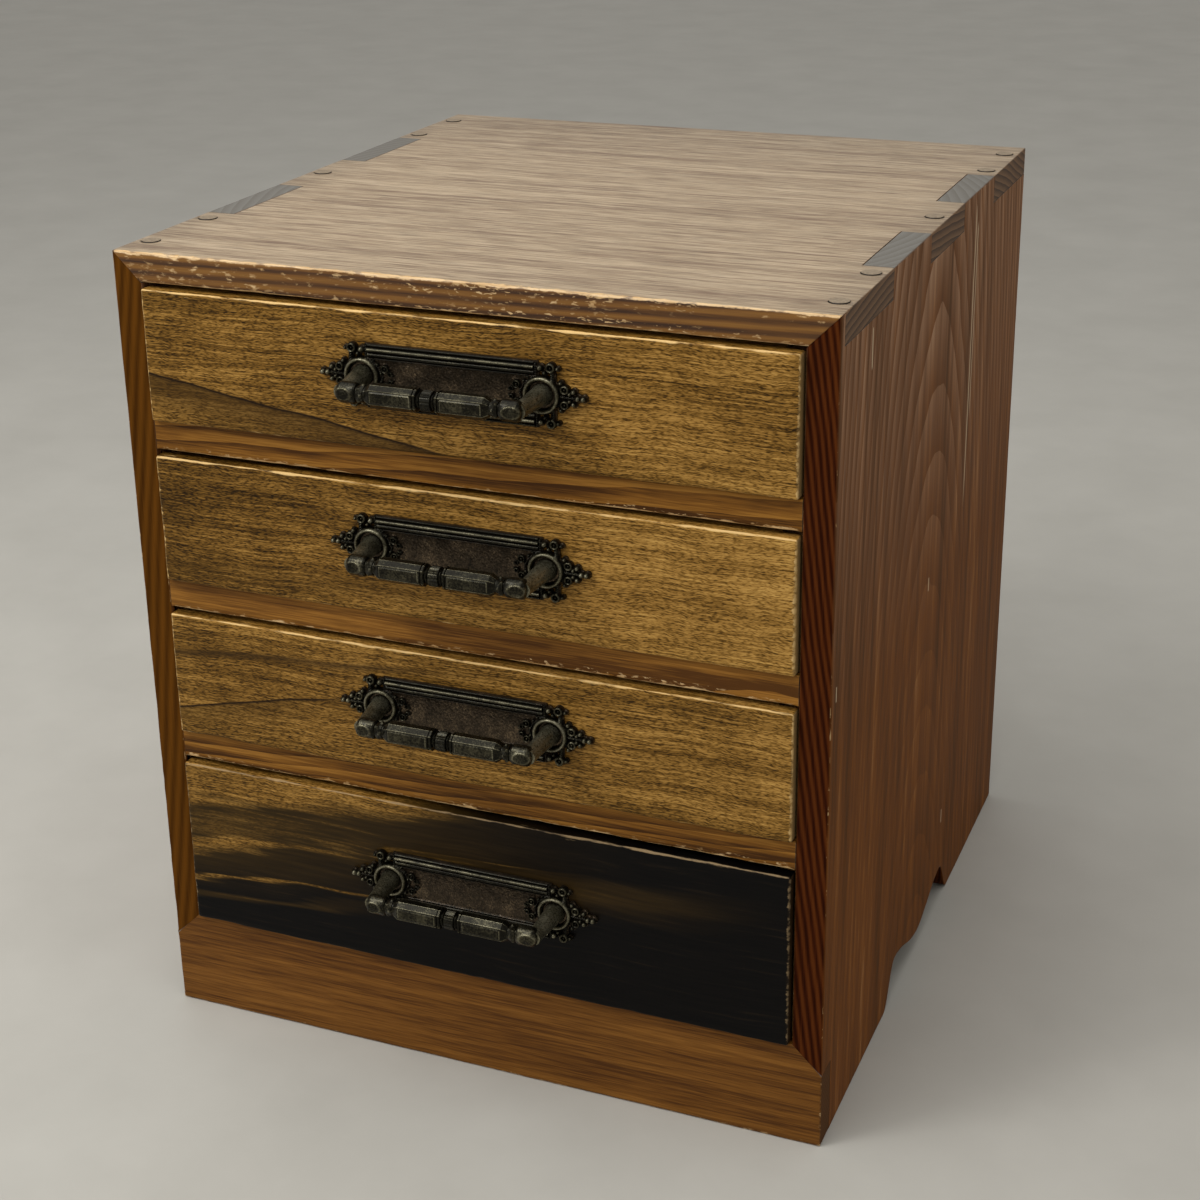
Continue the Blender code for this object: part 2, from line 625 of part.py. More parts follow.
def main():
    clear_scene()
    softwood = finish("red_brown_softwood", RED_BROWN_SOFTWOOD, 0.45)
    hardwood = finish("golden_hardwood", GOLDEN_HARDWOOD, 0.42)
    black_wood = finish("black_figured_wood", BLACK_FIGURED_WOOD, 0.35)
    end_grain = finish("dark_end_grain", DARK_END_GRAIN, 0.55)
    inner_wood = finish("pale_inner_wood", PALE_INNER_WOOD, 0.65)
    bronze = finish("black_bronze", BLACK_BRONZE, 0.38, 0.85)
    top = make_top(softwood)
    make_plugs(top, end_grain)
    for hand, sign in SIDES:
        make_side(hand, sign, softwood)
    make_plinth(softwood)
    make_rails(softwood)
    make_runners(inner_wood)
    make_back_and_bottom(inner_wood)
    slides = []
    for number, (floor, opening) in enumerate(zip(opening_floors(), OPENINGS), 1):
        front_surface = black_wood if number == len(OPENINGS) else hardwood
        slides.append(make_drawer(number, floor, opening, front_surface, inner_wood))
    make_pulls(slides, bronze)


main()
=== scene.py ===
"""Looks of a small tansu chest: worn softwood boards, figured drawer fronts and cast pulls.

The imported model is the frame. Every visible board and casting is a new surface in the place of its
node, worked out as whole arrays; runners, bottoms and drawer walls keep their nodes. Metres, +Z up,
the drawers open towards -Y.
"""
import math
from functools import partial

import bmesh
import bpy
import numpy as np
from mathutils import Matrix, Vector


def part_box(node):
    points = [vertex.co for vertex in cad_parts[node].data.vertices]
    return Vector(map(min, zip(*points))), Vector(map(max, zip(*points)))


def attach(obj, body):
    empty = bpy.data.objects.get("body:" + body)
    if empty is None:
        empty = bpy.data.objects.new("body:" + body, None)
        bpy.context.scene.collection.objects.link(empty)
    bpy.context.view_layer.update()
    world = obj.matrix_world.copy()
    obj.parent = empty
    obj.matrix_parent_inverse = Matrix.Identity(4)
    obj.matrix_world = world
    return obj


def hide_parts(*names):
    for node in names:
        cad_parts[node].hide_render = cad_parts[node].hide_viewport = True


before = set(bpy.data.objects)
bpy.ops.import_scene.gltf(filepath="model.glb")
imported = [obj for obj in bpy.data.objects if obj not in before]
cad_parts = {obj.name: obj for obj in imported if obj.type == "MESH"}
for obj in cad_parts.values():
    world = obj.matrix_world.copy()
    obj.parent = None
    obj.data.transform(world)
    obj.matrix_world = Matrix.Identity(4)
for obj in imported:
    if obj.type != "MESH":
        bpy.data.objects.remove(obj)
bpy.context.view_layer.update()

MM = 0.001

# Sizes read from the frame
TOP_LOW, TOP_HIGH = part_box("top_panel")
_, PLINTH_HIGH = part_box("plinth")
BACK_LOW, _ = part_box("back_panel")
HALF_WIDTH = TOP_HIGH.x
FRONT_Y = TOP_LOW.y
BACK_Y = TOP_HIGH.y
HEIGHT = TOP_HIGH.z
CEILING = TOP_LOW.z
BOARD = HEIGHT - CEILING
INNER_HALF = HALF_WIDTH - BOARD
DEPTH = BACK_Y - FRONT_Y
SIDES = (("left", -1), ("right", 1))
DRAWERS = (1, 2, 3, 4)

# Joinery that the frame's boxes don't give
JOINT_GAP = 0.3 * MM
SLIP = JOINT_GAP / 2
FRONT_FINGER = 86 * MM
REAR_FINGER = 82 * MM
MITRE_DEPTH = 6 * MM
BACK_LAP = 7 * MM
LAP_LEAF = 7 * MM
DRAWER_WALL = 9 * MM
CUTOUT_SPAN = 142 * MM
CUTOUT_PEAKS = 102 * MM
CUTOUT_PEAK = 22.5 * MM
CUTOUT_DROP = 10.5 * MM
CUTOUT_STEPS = 24

# Plugs, which stand proud of the top's upper face
PLUG_RADIUS = 5 * MM
PLUG_DEPTH = 8 * MM
PLUG_STAND = 0.5 * MM
PLUG_SLACK = 0.35 * MM
PLUG_SHIFT = 0.25 * MM
PLUG_FROM_EDGE = 22 * MM
PLUG_FROM_KEY = 12.5 * MM
PLUG_SIDES = 48
DECK = HEIGHT - PLUG_STAND
TOP_THICKNESS = DECK - CEILING

# How arrises are worn
ARRIS_STEPS = 5
CORNER_STEPS = 6
WORN_ARRIS = 1.45 * MM
SOFT_ARRIS = 0.55 * MM
JOINT_ARRIS = 0.14 * MM
DRAWER_ARRIS = 1.5 * MM
DRAWER_CORNER = 1.3 * MM
WEAR_HALO = 1.0 * MM
WEAR_SPREAD = 3.0 * MM

# Mesh steps: outline samples, a step that looks sharp, points that count as on an edge or at one place
SAMPLE = 1.2 * MM
HAIR = 0.01 * MM
RIM = 0.5 * MM
TOUCH = 0.001 * MM
SHARP_ANGLE = math.radians(42)
FACET_ANGLE = math.radians(24)

# Pull: the plate's relief from its back, and the bar's distance from it
POST = 45 * MM
PULL_REACH = 24 * MM
PULL_DROP = 1 * MM
PLATE_HALF_HEIGHT = 15.5 * MM
PLATE_STEP = 0.28 * MM
SHEET = 1.2 * MM
ROSETTE_SEAT = 1.9 * MM

# Camera, solved from the chest's corners in the photograph
CAMERA_PLACE = (0.408, -0.9935, 0.6521)
CAMERA_YAW = math.radians(-22.41)
CAMERA_PITCH = math.radians(-20.478)
CAMERA_ROLL = math.radians(-0.88)
FOCAL_PIXELS = 2102.3
IMAGE_PIXELS = 1200
IMAGE_CENTRE_ROW = 500
SENSOR = 36.0


def ripple(along, length, seed):
    """A smooth random wave from -1 to 1: random heights every `length`, joined by half cosines."""
    heights = np.random.default_rng(seed).uniform(-1, 1, int(along.max() / length) + 3)
    place = along / length
    start = place.astype(int)
    ease = (1 - np.cos(np.pi * (place - start))) / 2
    return heights[start] * (1 - ease) + heights[start + 1] * ease


def eased(values, reach):
    """A running mean over `reach` neighbours each way, round a closed path."""
    shifts = range(-reach, reach + 1)
    return sum(np.roll(values, shift) for shift in shifts) / len(shifts)


class Outline:
    """A closed outline, run through counter-clockwise, whose corners are (a, b, radius).

    A corner becomes an arc of its radius, and a run between corners is cut into equal steps. Moved
    inwards by d, a point of a run goes d along the run's normal, and no further along the run than the
    mitres at its ends. A point of an arc goes towards the arc's centre, and from there along the mitre.
    """

    def __init__(self, corners, step=SAMPLE):
        spots = np.array([corner[:2] for corner in corners])
        radii = np.array([corner[2] for corner in corners])
        run = np.roll(spots, -1, axis=0) - spots
        length = np.linalg.norm(run, axis=1)
        ahead = run / length[:, None]
        behind = np.roll(ahead, 1, axis=0)
        inward = np.stack([-ahead[:, 1], ahead[:, 0]], axis=1)
        before = np.roll(inward, 1, axis=0)
        mitre = (inward + before) / (1 + (inward * before).sum(axis=1))[:, None]
        turn = np.arctan2(behind[:, 0] * ahead[:, 1] - behind[:, 1] * ahead[:, 0],
                          (behind * ahead).sum(axis=1))
        lean = np.tan(np.clip(turn, 0, None) / 2)
        owner, place, spoke, straight = [], [], [], []
        for i in range(len(spots)):
            j = (i + 1) % len(spots)
            middle = math.atan2(-mitre[i, 1], -mitre[i, 0])
            angle = middle + np.linspace(-0.5, 0.5, CORNER_STEPS if radii[i] else 1) * turn[i]
            first = radii[i] * lean[i]
            last = length[i] - radii[j] * lean[j]
            count = max(1, math.ceil((last - first) / step))
            between = first + (last - first) * np.arange(1, count) / count
            owner += [i] * (len(angle) + len(between))
            place.append(np.concatenate([np.zeros(len(angle)), between]))
            spoke.append(np.stack([np.cos(angle), np.sin(angle)], axis=1))
            spoke.append(np.zeros((len(between), 2)))
            straight += [False] * len(angle) + [True] * len(between)
        following = (np.array(owner) + 1) % len(spots)
        self.straight = np.array(straight)[:, None]
        self.place = np.concatenate(place)
        self.spoke = np.concatenate(spoke)
        self.spot, self.ahead, self.inward, self.mitre = (a[owner] for a in (spots, ahead, inward, mitre))
        self.radius, self.lean, self.length = (a[owner] for a in (radii, lean, length))
        self.next_radius, self.next_lean = radii[following], lean[following]
        self.points = self.moved_in(np.zeros(len(owner)))
        steps = np.linalg.norm(np.diff(self.points, axis=0, append=self.points[:1]), axis=1)
        self.along = np.concatenate([[0.0], np.cumsum(steps)[:-1]])
        self.around = steps.sum()
        tangent = np.roll(self.points, -1, axis=0) - np.roll(self.points, 1, axis=0)
        self.facing = np.abs(tangent[:, ::-1]) / np.linalg.norm(tangent, axis=1)[:, None]

    def moved_in(self, distance):
        """The outline moved inwards, for an array of distances whose last axis is its points."""
        first = np.maximum(self.radius, distance) * self.lean
        last = self.length - np.maximum(self.next_radius, distance) * self.next_lean
        place = np.clip(self.place, first, np.maximum(first, last))[..., None]
        run = self.spot + self.ahead * place + self.inward * distance[..., None]
        shrink = np.clip(self.radius - distance, 0, None)[..., None]
        arc = self.spot + self.mitre * np.maximum(self.radius, distance)[..., None] + self.spoke * shrink
        return np.where(self.straight, run, arc)

    def room(self, chosen):
        """How far along the outline each point is from the nearest of the chosen points."""
        if not chosen.any():
            return np.full(len(self.points), self.around)
        gap = np.abs(self.along[:, None] - self.along[chosen][None])
        return np.minimum(gap, self.around - gap).min(axis=1)


def put_mesh(name, points, faces, attributes=None, flat=(), merge=False, angle=SHARP_ANGLE):
    """A mesh object from point and face arrays, smooth apart from the faces named in `flat`."""
    mesh = bpy.data.meshes.new(name)
    mesh.from_pydata(points, [], faces)
    for label, values in (attributes or {}).items():
        layer = mesh.attributes.new(label, "FLOAT", "POINT")
        layer.data.foreach_set("value", np.asarray(values, np.float32).ravel())
    smooth = np.ones(len(mesh.polygons), bool)
    smooth[list(flat)] = False
    mesh.polygons.foreach_set("use_smooth", smooth)
    if merge:
        work = bmesh.new()
        work.from_mesh(mesh)
        bmesh.ops.remove_doubles(work, verts=work.verts, dist=2 * TOUCH)
        work.to_mesh(mesh)
        work.free()
    smooth = np.zeros(len(mesh.polygons), bool)
    mesh.polygons.foreach_get("use_smooth", smooth)
    mesh.set_sharp_from_angle(angle=angle)
    mesh.polygons.foreach_set("use_smooth", smooth)
    mesh.update()
    piece = bpy.data.objects.new(name, mesh)
    bpy.context.scene.collection.objects.link(piece)
    return piece


def ring_faces(rings, count):
    """Quads between neighbouring rings of `count` points each, and the two end rings as caps."""
    ring = np.arange(rings - 1)[:, None] * count
    place = np.arange(count)[None]
    after = (place + 1) % count
    quads = np.stack([ring + place, ring + after, ring + count + after, ring + count + place], axis=-1)
    last = (rings - 1) * count
    return quads.reshape(-1, 4).tolist() + [list(range(count))[::-1], list(range(last, last + count))]


def turned_out(points, faces):
    """The faces, reversed if the closed shape they make would be inside out."""
    fans = np.array([(face[0], *pair) for face in faces for pair in zip(face[1:], face[2:])])
    start, middle, end = (points[fans[:, k]] for k in range(3))
    volume = (start * np.cross(middle, end)).sum()
    return faces if volume > 0 else [face[::-1] for face in faces]


def joined(shells):
    """One point array and one face list for closed shells, each given as its points and its ring sizes."""
    points, faces, done = [], [], 0
    for shell, rings, count in shells:
        faces += [[corner + done for corner in face] for face in turned_out(shell, ring_faces(rings, count))]
        points.append(shell)
        done += len(shell)
    return np.concatenate(points), faces


def turned_points(profile, count):
    """Turns (radius, height) pairs about the z axis, ring after ring."""
    angle = 2 * np.pi * np.arange(count) / count
    radius, height = np.array(profile).T
    rings = np.stack([radius[:, None] * np.cos(angle), radius[:, None] * np.sin(angle),
                      np.repeat(height[:, None], count, axis=1)], axis=-1)
    return rings.reshape(-1, 3)


def arris_rings(radius, rub):
    """The rings of an arris from face to wall: how far in, how deep, how worn, and the wall's share."""
    turns = np.linspace(0, math.pi / 2, ARRIS_STEPS)
    return [(radius * (1 - math.sin(t)), radius * (1 - math.cos(t)), rub * (0.6 + 0.4 * math.sin(2 * t)),
             t / (math.pi / 2)) for t in turns]


def board(name, outline, thickness, place, near, far, rub, wall_rub=0.0, grain=0, breaks=(), carve=None,
          joint=None):
    """Carries the profile of a board's edge round its outline.

    Across an arris of radius r the profile is a quarter circle: at angle t the outline is moved in by
    r(1 - sin t) at the depth r(1 - cos t). Between its two arrises it runs straight through the
    thickness, and on the faces it goes on inwards by a halo and a spread, where wear fades out. The
    radii `near` and `far`, and the wear `rub`, are one value for each point of the outline. Next to the
    points of a joint all of them shrink, so that narrow fingers stay whole.
    """
    count = len(outline.points)
    room = outline.room(np.zeros(count, bool) if joint is None else joint)
    near, far = (np.minimum(r, JOINT_ARRIS + 0.5 * room) for r in (near, far))
    near_halo, far_halo = (np.minimum(r.max() + WEAR_HALO, 2 * JOINT_ARRIS + 0.6 * room) for r in (near, far))
    near_end, far_end = (np.minimum(r.max() + WEAR_SPREAD, 4 * JOINT_ARRIS + 0.8 * room) for r in (near, far))
    none = np.zeros(count)
    wall = np.broadcast_to(wall_rub, count)
    half = np.maximum(0.5 * rub, wall)
    rings = [(near_end, none, none, 0.0), (near_halo, none, 0.4 * rub, 0.0), *arris_rings(near, rub)]
    rings += [(none, near_halo, half, 1.0), (none, near_end, wall, 1.0)]
    for depth in breaks:
        rings += [(none, none + depth - HAIR, wall, 1.0), (none, none + depth + HAIR, wall, 1.0)]
    rings += [(none, thickness - far_end, wall, 1.0), (none, thickness - far_halo, half, 1.0)]
    rings += [(inset, thickness - depth, wear, share)
              for inset, depth, wear, share in reversed(arris_rings(far, rub))]
    rings += [(far_halo, none + thickness, 0.4 * rub, 0.0), (far_end, none + thickness, none, 0.0)]
    inset, depth, wear, on_wall = (np.stack([none + ring[k] for ring in rings]) for k in range(4))
    flat = outline.moved_in(inset)
    if carve:
        flat = carve(flat, depth)
    points = np.stack(place(flat[..., 0], flat[..., 1], depth), axis=-1).reshape(-1, 3)
    faces = turned_out(points, ring_faces(len(rings), count))
    attributes = {"rub": wear, "wall": on_wall, "end_grain": on_wall * (outline.facing[:, grain] > 0.7)}
    return put_mesh(name, points, faces, attributes, flat=(len(faces) - 2, len(faces) - 1), merge=True)


def worn(outline, radius, seed, chips=0.0):
    """Radius of an arris along an outline: two ripples of it, and now and then a chip."""
    soft = 1 + 0.28 * ripple(outline.along, 23 * MM, seed) + 0.22 * ripple(outline.along, 6 * MM, seed + 1)
    place = ripple(outline.along, 5 * MM, seed + 2) * 0.6 + ripple(outline.along, 37 * MM, seed + 3) * 0.5
    return radius * soft + chips * np.clip(place - 0.35, 0, None)


def finish_piece(piece, body, node, surface):
    """Gives a piece its finish and its place in the frame."""
    piece.data.materials.append(surface)
    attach(piece, body)
    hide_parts(node)


def finger_bounds():
    """Ends of the five fingers of the corner joint, from front to back."""
    shared = (DEPTH - FRONT_FINGER - REAR_FINGER) / 3
    rear = DEPTH - REAR_FINGER
    return [FRONT_Y + step for step in (0.0, FRONT_FINGER, FRONT_FINGER + shared, rear - shared, rear, DEPTH)]


def plug_places():
    """The plugs' places along the depth: two in each end finger, one in the middle finger."""
    bounds = finger_bounds()
    return [FRONT_Y + PLUG_FROM_EDGE, bounds[1] - PLUG_FROM_KEY, (bounds[2] + bounds[3]) / 2,
            bounds[4] + PLUG_FROM_KEY, BACK_Y - PLUG_FROM_EDGE]


def mirrored(corners):
    """The corners of an outline's other half, in x."""
    return [(-x, b, radius) for x, b, radius in reversed(corners)]


def make_top(surface):
    """The top board, with sockets for the sides' fingers, plug holes and a mitre at each front end."""
    bounds = finger_bounds()
    socket = INNER_HALF - JOINT_GAP
    mitre_end = FRONT_Y + MITRE_DEPTH + SLIP
    right = [(HALF_WIDTH, FRONT_Y, 1.1 * MM), (HALF_WIDTH, mitre_end, 0), (HALF_WIDTH, mitre_end + HAIR, 0)]
    for start, end in (bounds[1:3], bounds[3:5]):
        right += [(HALF_WIDTH, start - SLIP, 0), (socket, start - SLIP, 0),
                  (socket, end + SLIP, 0), (HALF_WIDTH, end + SLIP, 0)]
    right += [(HALF_WIDTH, BACK_Y, 0.8 * MM)]
    outline = Outline([(0.0, BACK_Y, 0)] + mirrored(right) + right)
    x, y = outline.points.T
    front = (y < FRONT_Y + 2 * MM).astype(float)
    inside = (np.abs(x) < HALF_WIDTH - RIM) & (y > FRONT_Y + MM) & (y < BACK_Y - MM)
    near = np.where(front > 0, worn(outline, WORN_ARRIS, 11, 2.2 * MM),
                    worn(outline, SOFT_ARRIS, 21, 0.4 * MM))
    near = eased(near, 1)
    far = eased(np.where(front > 0, worn(outline, 0.7 * MM, 31, 1.2 * MM), JOINT_ARRIS), 1)
    rub = eased(np.select([front > 0, inside], [1.0, 0.0], 0.35), 2)
    wall_rub = eased(front * np.clip(0.62 - 0.25 * (x + HALF_WIDTH) / (2 * HALF_WIDTH), 0, 1), 2)

    def carve(flat, depth):
        """Mitres the front ends at 45 degrees, and steps the rear edge back over the back panel."""
        a, b = flat[..., 0], flat[..., 1]
        limit = np.where(outline.points[:, 1] <= mitre_end, HALF_WIDTH - depth, HALF_WIDTH)
        a = np.clip(a, -limit, limit)
        behind = (depth > TOP_THICKNESS - BACK_LAP) & (np.abs(x) < INNER_HALF + BACK_LAP)
        b = np.where(behind, np.minimum(b, BACK_LOW.y - JOINT_GAP), b)
        return np.stack([a, b], axis=-1)

    top = board("worn_top", outline, TOP_THICKNESS, lambda a, b, d: (a, b, DECK - d), near, far, rub,
                wall_rub, breaks=(TOP_THICKNESS - BACK_LAP,), carve=carve, joint=inside)
    drill_plug_holes(top)
    finish_piece(top, "carcass", "top_panel", surface)


def drill_plug_holes(top):
    """Cuts the plugs' holes into the top, as round as the plugs."""
    holes = []
    for _, sign in SIDES:
        for place in plug_places():
            points = turned_points([(PLUG_RADIUS, 1 * MM), (PLUG_RADIUS, -PLUG_DEPTH)], PLUG_SIDES)
            holes.append((points + (sign * (HALF_WIDTH - BOARD / 2), place, HEIGHT), 2, PLUG_SIDES))
    drill = put_mesh("plug_drill", *joined(holes))
    cut = top.modifiers.new("plug_holes", "BOOLEAN")
    cut.object = drill
    graph = bpy.context.evaluated_depsgraph_get()
    drilled = bpy.data.meshes.new_from_object(top.evaluated_get(graph))
    top.modifiers.remove(cut)
    bpy.data.objects.remove(drill)
    old = top.data
    top.data = drilled
    bpy.data.meshes.remove(old)


def make_plugs(surface):
    """Round end-grain plugs a hair smaller than their holes: each stands proud, and a little to the rear."""
    radius = PLUG_RADIUS - PLUG_SLACK
    profile = [(radius - 0.3 * MM, 0.0), (radius - 0.08 * MM, -0.04 * MM), (radius, -0.13 * MM),
               (radius, JOINT_GAP - PLUG_DEPTH)]
    # How much of each ring takes the sides' dark colour, painted shade of the gap and partly dirt: none on
    # the top, a little on its rounded edge
    wall = np.repeat((0.0, 0.25, 1.0, 1.0), PLUG_SIDES)
    for hand, sign in SIDES:
        for number, place in enumerate(plug_places(), 1):
            points = turned_points(profile, PLUG_SIDES)
            points += (sign * (HALF_WIDTH - BOARD / 2), place + PLUG_SHIFT, HEIGHT)
            faces = turned_out(points, ring_faces(len(profile), PLUG_SIDES))
            plug = put_mesh(f"end_grain_plug_{hand}_{number}", points, faces, {"wall": wall},
                            flat=(len(faces) - 2, len(faces) - 1))
            finish_piece(plug, "carcass", f"plug_{hand}_{number}", surface)


def cutout_corners():
    """The bracket cut-out, front to back: half-cosine rises to two peaks and a half-cosine dip between."""
    share = np.arange(CUTOUT_STEPS + 1) / CUTOUT_STEPS
    swing = (1 - np.cos(np.pi * np.arange(CUTOUT_STEPS + 1) / CUTOUT_STEPS)) / 2
    rise_y = (-CUTOUT_SPAN + (CUTOUT_SPAN - CUTOUT_PEAKS) * share) / 2
    dip_y = -CUTOUT_PEAKS / 2 * (1 - share)
    y = np.concatenate([rise_y, dip_y[1:]])
    z = np.concatenate([CUTOUT_PEAK * swing, CUTOUT_PEAK + (CUTOUT_DROP - CUTOUT_PEAK) * swing[1:]])
    y = np.concatenate([y, -y[-2::-1]]) + FRONT_Y + DEPTH / 2
    z = np.concatenate([z, z[-2::-1]])
    return [(a, b, 0) for a, b in zip(y, z)]


def make_side(hand, sign, surface):
    """A side board with its two fingers, front mitre tongue, plinth notch, foot cut-out and back rabbet."""
    bounds = finger_bounds()
    seat = CEILING - JOINT_GAP
    tongue = FRONT_Y + MITRE_DEPTH - SLIP
    tip = DECK - 0.7 * JOINT_GAP
    notch_y = PLINTH_HIGH.y + JOINT_GAP
    notch_z = PLINTH_HIGH.z - BOARD + 0.4 * JOINT_GAP
    corners = [(BACK_Y, HEIGHT / 2, 0), (BACK_Y, seat, 0)]
    for start, end in (bounds[3:5], bounds[1:3]):
        corners += [(end - SLIP, seat, 0), (end - SLIP, DECK, 0), (start + SLIP, DECK, 0),
                    (start + SLIP, seat, 0)]
    corners += [(tongue, seat, 0), (tongue, tip, 0), (FRONT_Y, tip, 0), (FRONT_Y, notch_z, 0),
                (notch_y, notch_z, 0), (notch_y, 0.0, 0.4 * MM), *cutout_corners(), (BACK_Y, 0.0, 0.8 * MM)]
    outline = Outline(corners)
    y, z = outline.points.T
    front = (y < FRONT_Y + RIM) & (z > notch_z + 2 * MM)
    low = z < CUTOUT_PEAK + MM
    rear = y > BACK_Y - RIM
    finger_top = z > DECK - RIM
    exposed = front | (low & (y > notch_y + MM)) | rear | (finger_top & (y > tongue + MM))
    seed = 100 + 50 * sign
    near = eased(np.where(exposed, worn(outline, SOFT_ARRIS, seed, 0.5 * MM), JOINT_ARRIS), 1)
    near = np.where(front, eased(worn(outline, 0.75 * MM, seed + 7, 0.6 * MM), 1), near)
    far = eased(np.where(exposed, worn(outline, 0.4 * MM, seed + 11), JOINT_ARRIS), 1)
    rub = eased(np.select([front, exposed], [0.52, 0.4], 0.0), 2)

    def carve(flat, depth):
        """Slopes the tongue and the plinth notch at 45 degrees, and rabbets the inner rear edge."""
        a, b = flat[..., 0], flat[..., 1]
        in_tongue = (y <= tongue + TOUCH) & (z > seat + TOUCH)
        b = np.where(in_tongue, np.minimum(b, tip - depth), b)
        on_front = (y < FRONT_Y + TOUCH) & ~in_tongue
        b = np.where(on_front, np.clip(b, notch_z + depth, tip - depth), b)
        notch_top = (np.abs(z - notch_z) < TOUCH) & (y <= notch_y + TOUCH) & ~on_front
        b = np.where(notch_top, b + depth, b)
        rabbet = (depth > BOARD - BACK_LAP) & rear & (z > BACK_LOW.z - JOINT_GAP)
        a = np.where(rabbet, np.minimum(a, BACK_LOW.y - JOINT_GAP), a)
        return np.stack([a, b], axis=-1)

    side = board(f"worn_{hand}_side", outline, BOARD, lambda a, b, d: (sign * (HALF_WIDTH - d), a, b), near,
                 far, rub, grain=1, breaks=(BOARD - BACK_LAP,), carve=carve, joint=~exposed)
    finish_piece(side, "carcass", f"{hand}_side", surface)


def make_plinth(surface):
    """The front foot board, its upper corners mitred into the sides."""
    shoulder = PLINTH_HIGH.z - BOARD
    right = [(HALF_WIDTH, 0.0, 0.8 * MM), (HALF_WIDTH, shoulder, 0), (INNER_HALF, PLINTH_HIGH.z, 0)]
    outline = Outline([(0.0, 0.0, 0)] + right + mirrored(right))
    x, z = outline.points.T
    low = z < 1 * MM
    end = (np.abs(x) > HALF_WIDTH - RIM) & (z < shoulder - RIM)
    middle = (z > PLINTH_HIGH.z - RIM) & (np.abs(x) < INNER_HALF - MM)
    exposed = low | end | middle
    near = eased(np.where(exposed, worn(outline, 0.8 * MM, 301, 0.7 * MM), JOINT_ARRIS), 1)
    far = np.full(len(x), JOINT_ARRIS)
    rub = eased(np.select([low, exposed], [0.75, 0.6], 0.0), 2)
    plinth = board("worn_plinth", outline, PLINTH_HIGH.y - FRONT_Y, lambda a, b, d: (a, FRONT_Y + d, b), near,
                   far, rub, joint=~exposed)
    finish_piece(plinth, "carcass", "plinth", surface)


def make_rail(number, surface):
    """A front rail between two drawers; its lower front arris is chipped by the drawer below."""
    low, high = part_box(f"rail_{number}")
    half = INNER_HALF - JOINT_GAP
    outline = Outline([(0.0, high.z, 0), (-half, high.z, 0), (-half, low.z, 0), (half, low.z, 0),
                       (half, high.z, 0)])
    x, z = outline.points.T
    under = (z < low.z + RIM) & (np.abs(x) < half - MM)
    over = (z > high.z - RIM) & (np.abs(x) < half - MM)
    seed = 400 + 20 * number
    near = np.where(under, worn(outline, 0.8 * MM, seed, 1.6 * MM),
                    worn(outline, 0.6 * MM, seed + 5, 0.6 * MM))
    near = eased(np.where(under | over, near, JOINT_ARRIS), 1)
    far = np.full(len(x), JOINT_ARRIS)
    chipped = 0.95 + 0.3 * number * np.clip(ripple(outline.along, 11 * MM, seed + 8), 0, 1)
    rub = eased(np.select([under, over], [chipped, 0.6], 0.0), 2)
    rail = board(f"worn_rail_{number}", outline, high.y - FRONT_Y, lambda a, b, d: (a, FRONT_Y + d, b), near,
                 far, rub, joint=~(under | over))
    finish_piece(rail, "carcass", f"rail_{number}", surface)


def make_drawer_front(number, surface):
    """A drawer front with rounded face edges, and a lap at each end for the drawer's side."""
    low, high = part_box(f"drawer_{number}_front")
    outline = Outline([(0.0, low.z, 0), (high.x, low.z, DRAWER_CORNER), (high.x, high.z, DRAWER_CORNER),
                       (low.x, high.z, DRAWER_CORNER), (low.x, low.z, DRAWER_CORNER)])
    x, z = outline.points.T
    over = z > high.z - RIM
    side = np.abs(x) > high.x - RIM
    seed = 500 + 30 * number
    near = worn(outline, DRAWER_ARRIS, seed, 0.5 * MM)
    near = eased(np.where(over, worn(outline, 1.1 * MM, seed + 9, 0.4 * MM), near), 2)
    far = np.full(len(x), 0.3 * MM)
    # Rub on the arrises: worn pale wood, strongest on the upper arris, where the pale line is also a painted
    # highlight
    rub = eased(np.select([over, side], [0.95, 0.85], 0.62), 3)
    limit = high.x - DRAWER_WALL - JOINT_GAP

    def carve(flat, depth):
        """Cuts the laps: behind the leaf the front stops short at both ends."""
        a = np.where(depth > LAP_LEAF, np.clip(flat[..., 0], -limit, limit), flat[..., 0])
        return np.stack([a, flat[..., 1]], axis=-1)

    front = board(f"figured_drawer_front_{number}", outline, high.y - low.y,
                  lambda a, b, d: (a, low.y + d, b), near, far, rub, breaks=(LAP_LEAF,), carve=carve)
    finish_piece(front, f"drawer_{number}", f"drawer_{number}_front", surface)


# Ornaments of one quarter of a pull plate, in millimetres from its middle: (x, z, radius) beads,
# (x, z, radius, half width) rings, (x, z, x, z, half width) stems and (z, half height, crown) reeds
PLATE_BEADS = ((44.6, 12.6, 1.75), (46.6, 10.4, 1.15), (52.9, 12.7, 1.15), (54.3, 6.3, 1.3), (58.6, 1.6, 1.2),
               (60.5, 2.9, 1.5), (62.6, 0.0, 1.7), (65.2, 0.0, 1.75), (36.6, 6.0, 0.95), (38.6, 8.0, 0.8),
               (29.2, 1.3, 0.8), (34.9, 1.9, 0.9), (49.6, 13.0, 0.9), (56.2, 3.5, 0.85), (32.9, 4.1, 0.9))
PLATE_RINGS = ((45.0, 0.0, 7.8, 1.4), (49.6, 13.0, 1.75, 0.85), (56.2, 3.5, 1.6, 0.75),
               (32.9, 4.1, 1.55, 0.6), (30.4, 1.9, 0.9, 0.45))
PLATE_STEMS = ((42.4, 8.9, 42.4, 14.7, 0.85), (53.0, 0.0, 62.0, 0.0, 1.0), (50.6, 6.6, 50.2, 11.2, 1.2),
               (41.0, 8.6, 36.2, 4.4, 0.65), (36.2, 4.4, 34.3, 0.0, 0.65), (51.6, 5.4, 55.4, 2.4, 0.75))
PLATE_REEDS = ((14.75, 0.75, 1.3), (12.75, 1.25, 2.2), (10.2, 1.2, 1.5), (8.5, 0.5, 0.9))
REED_END = 41.6
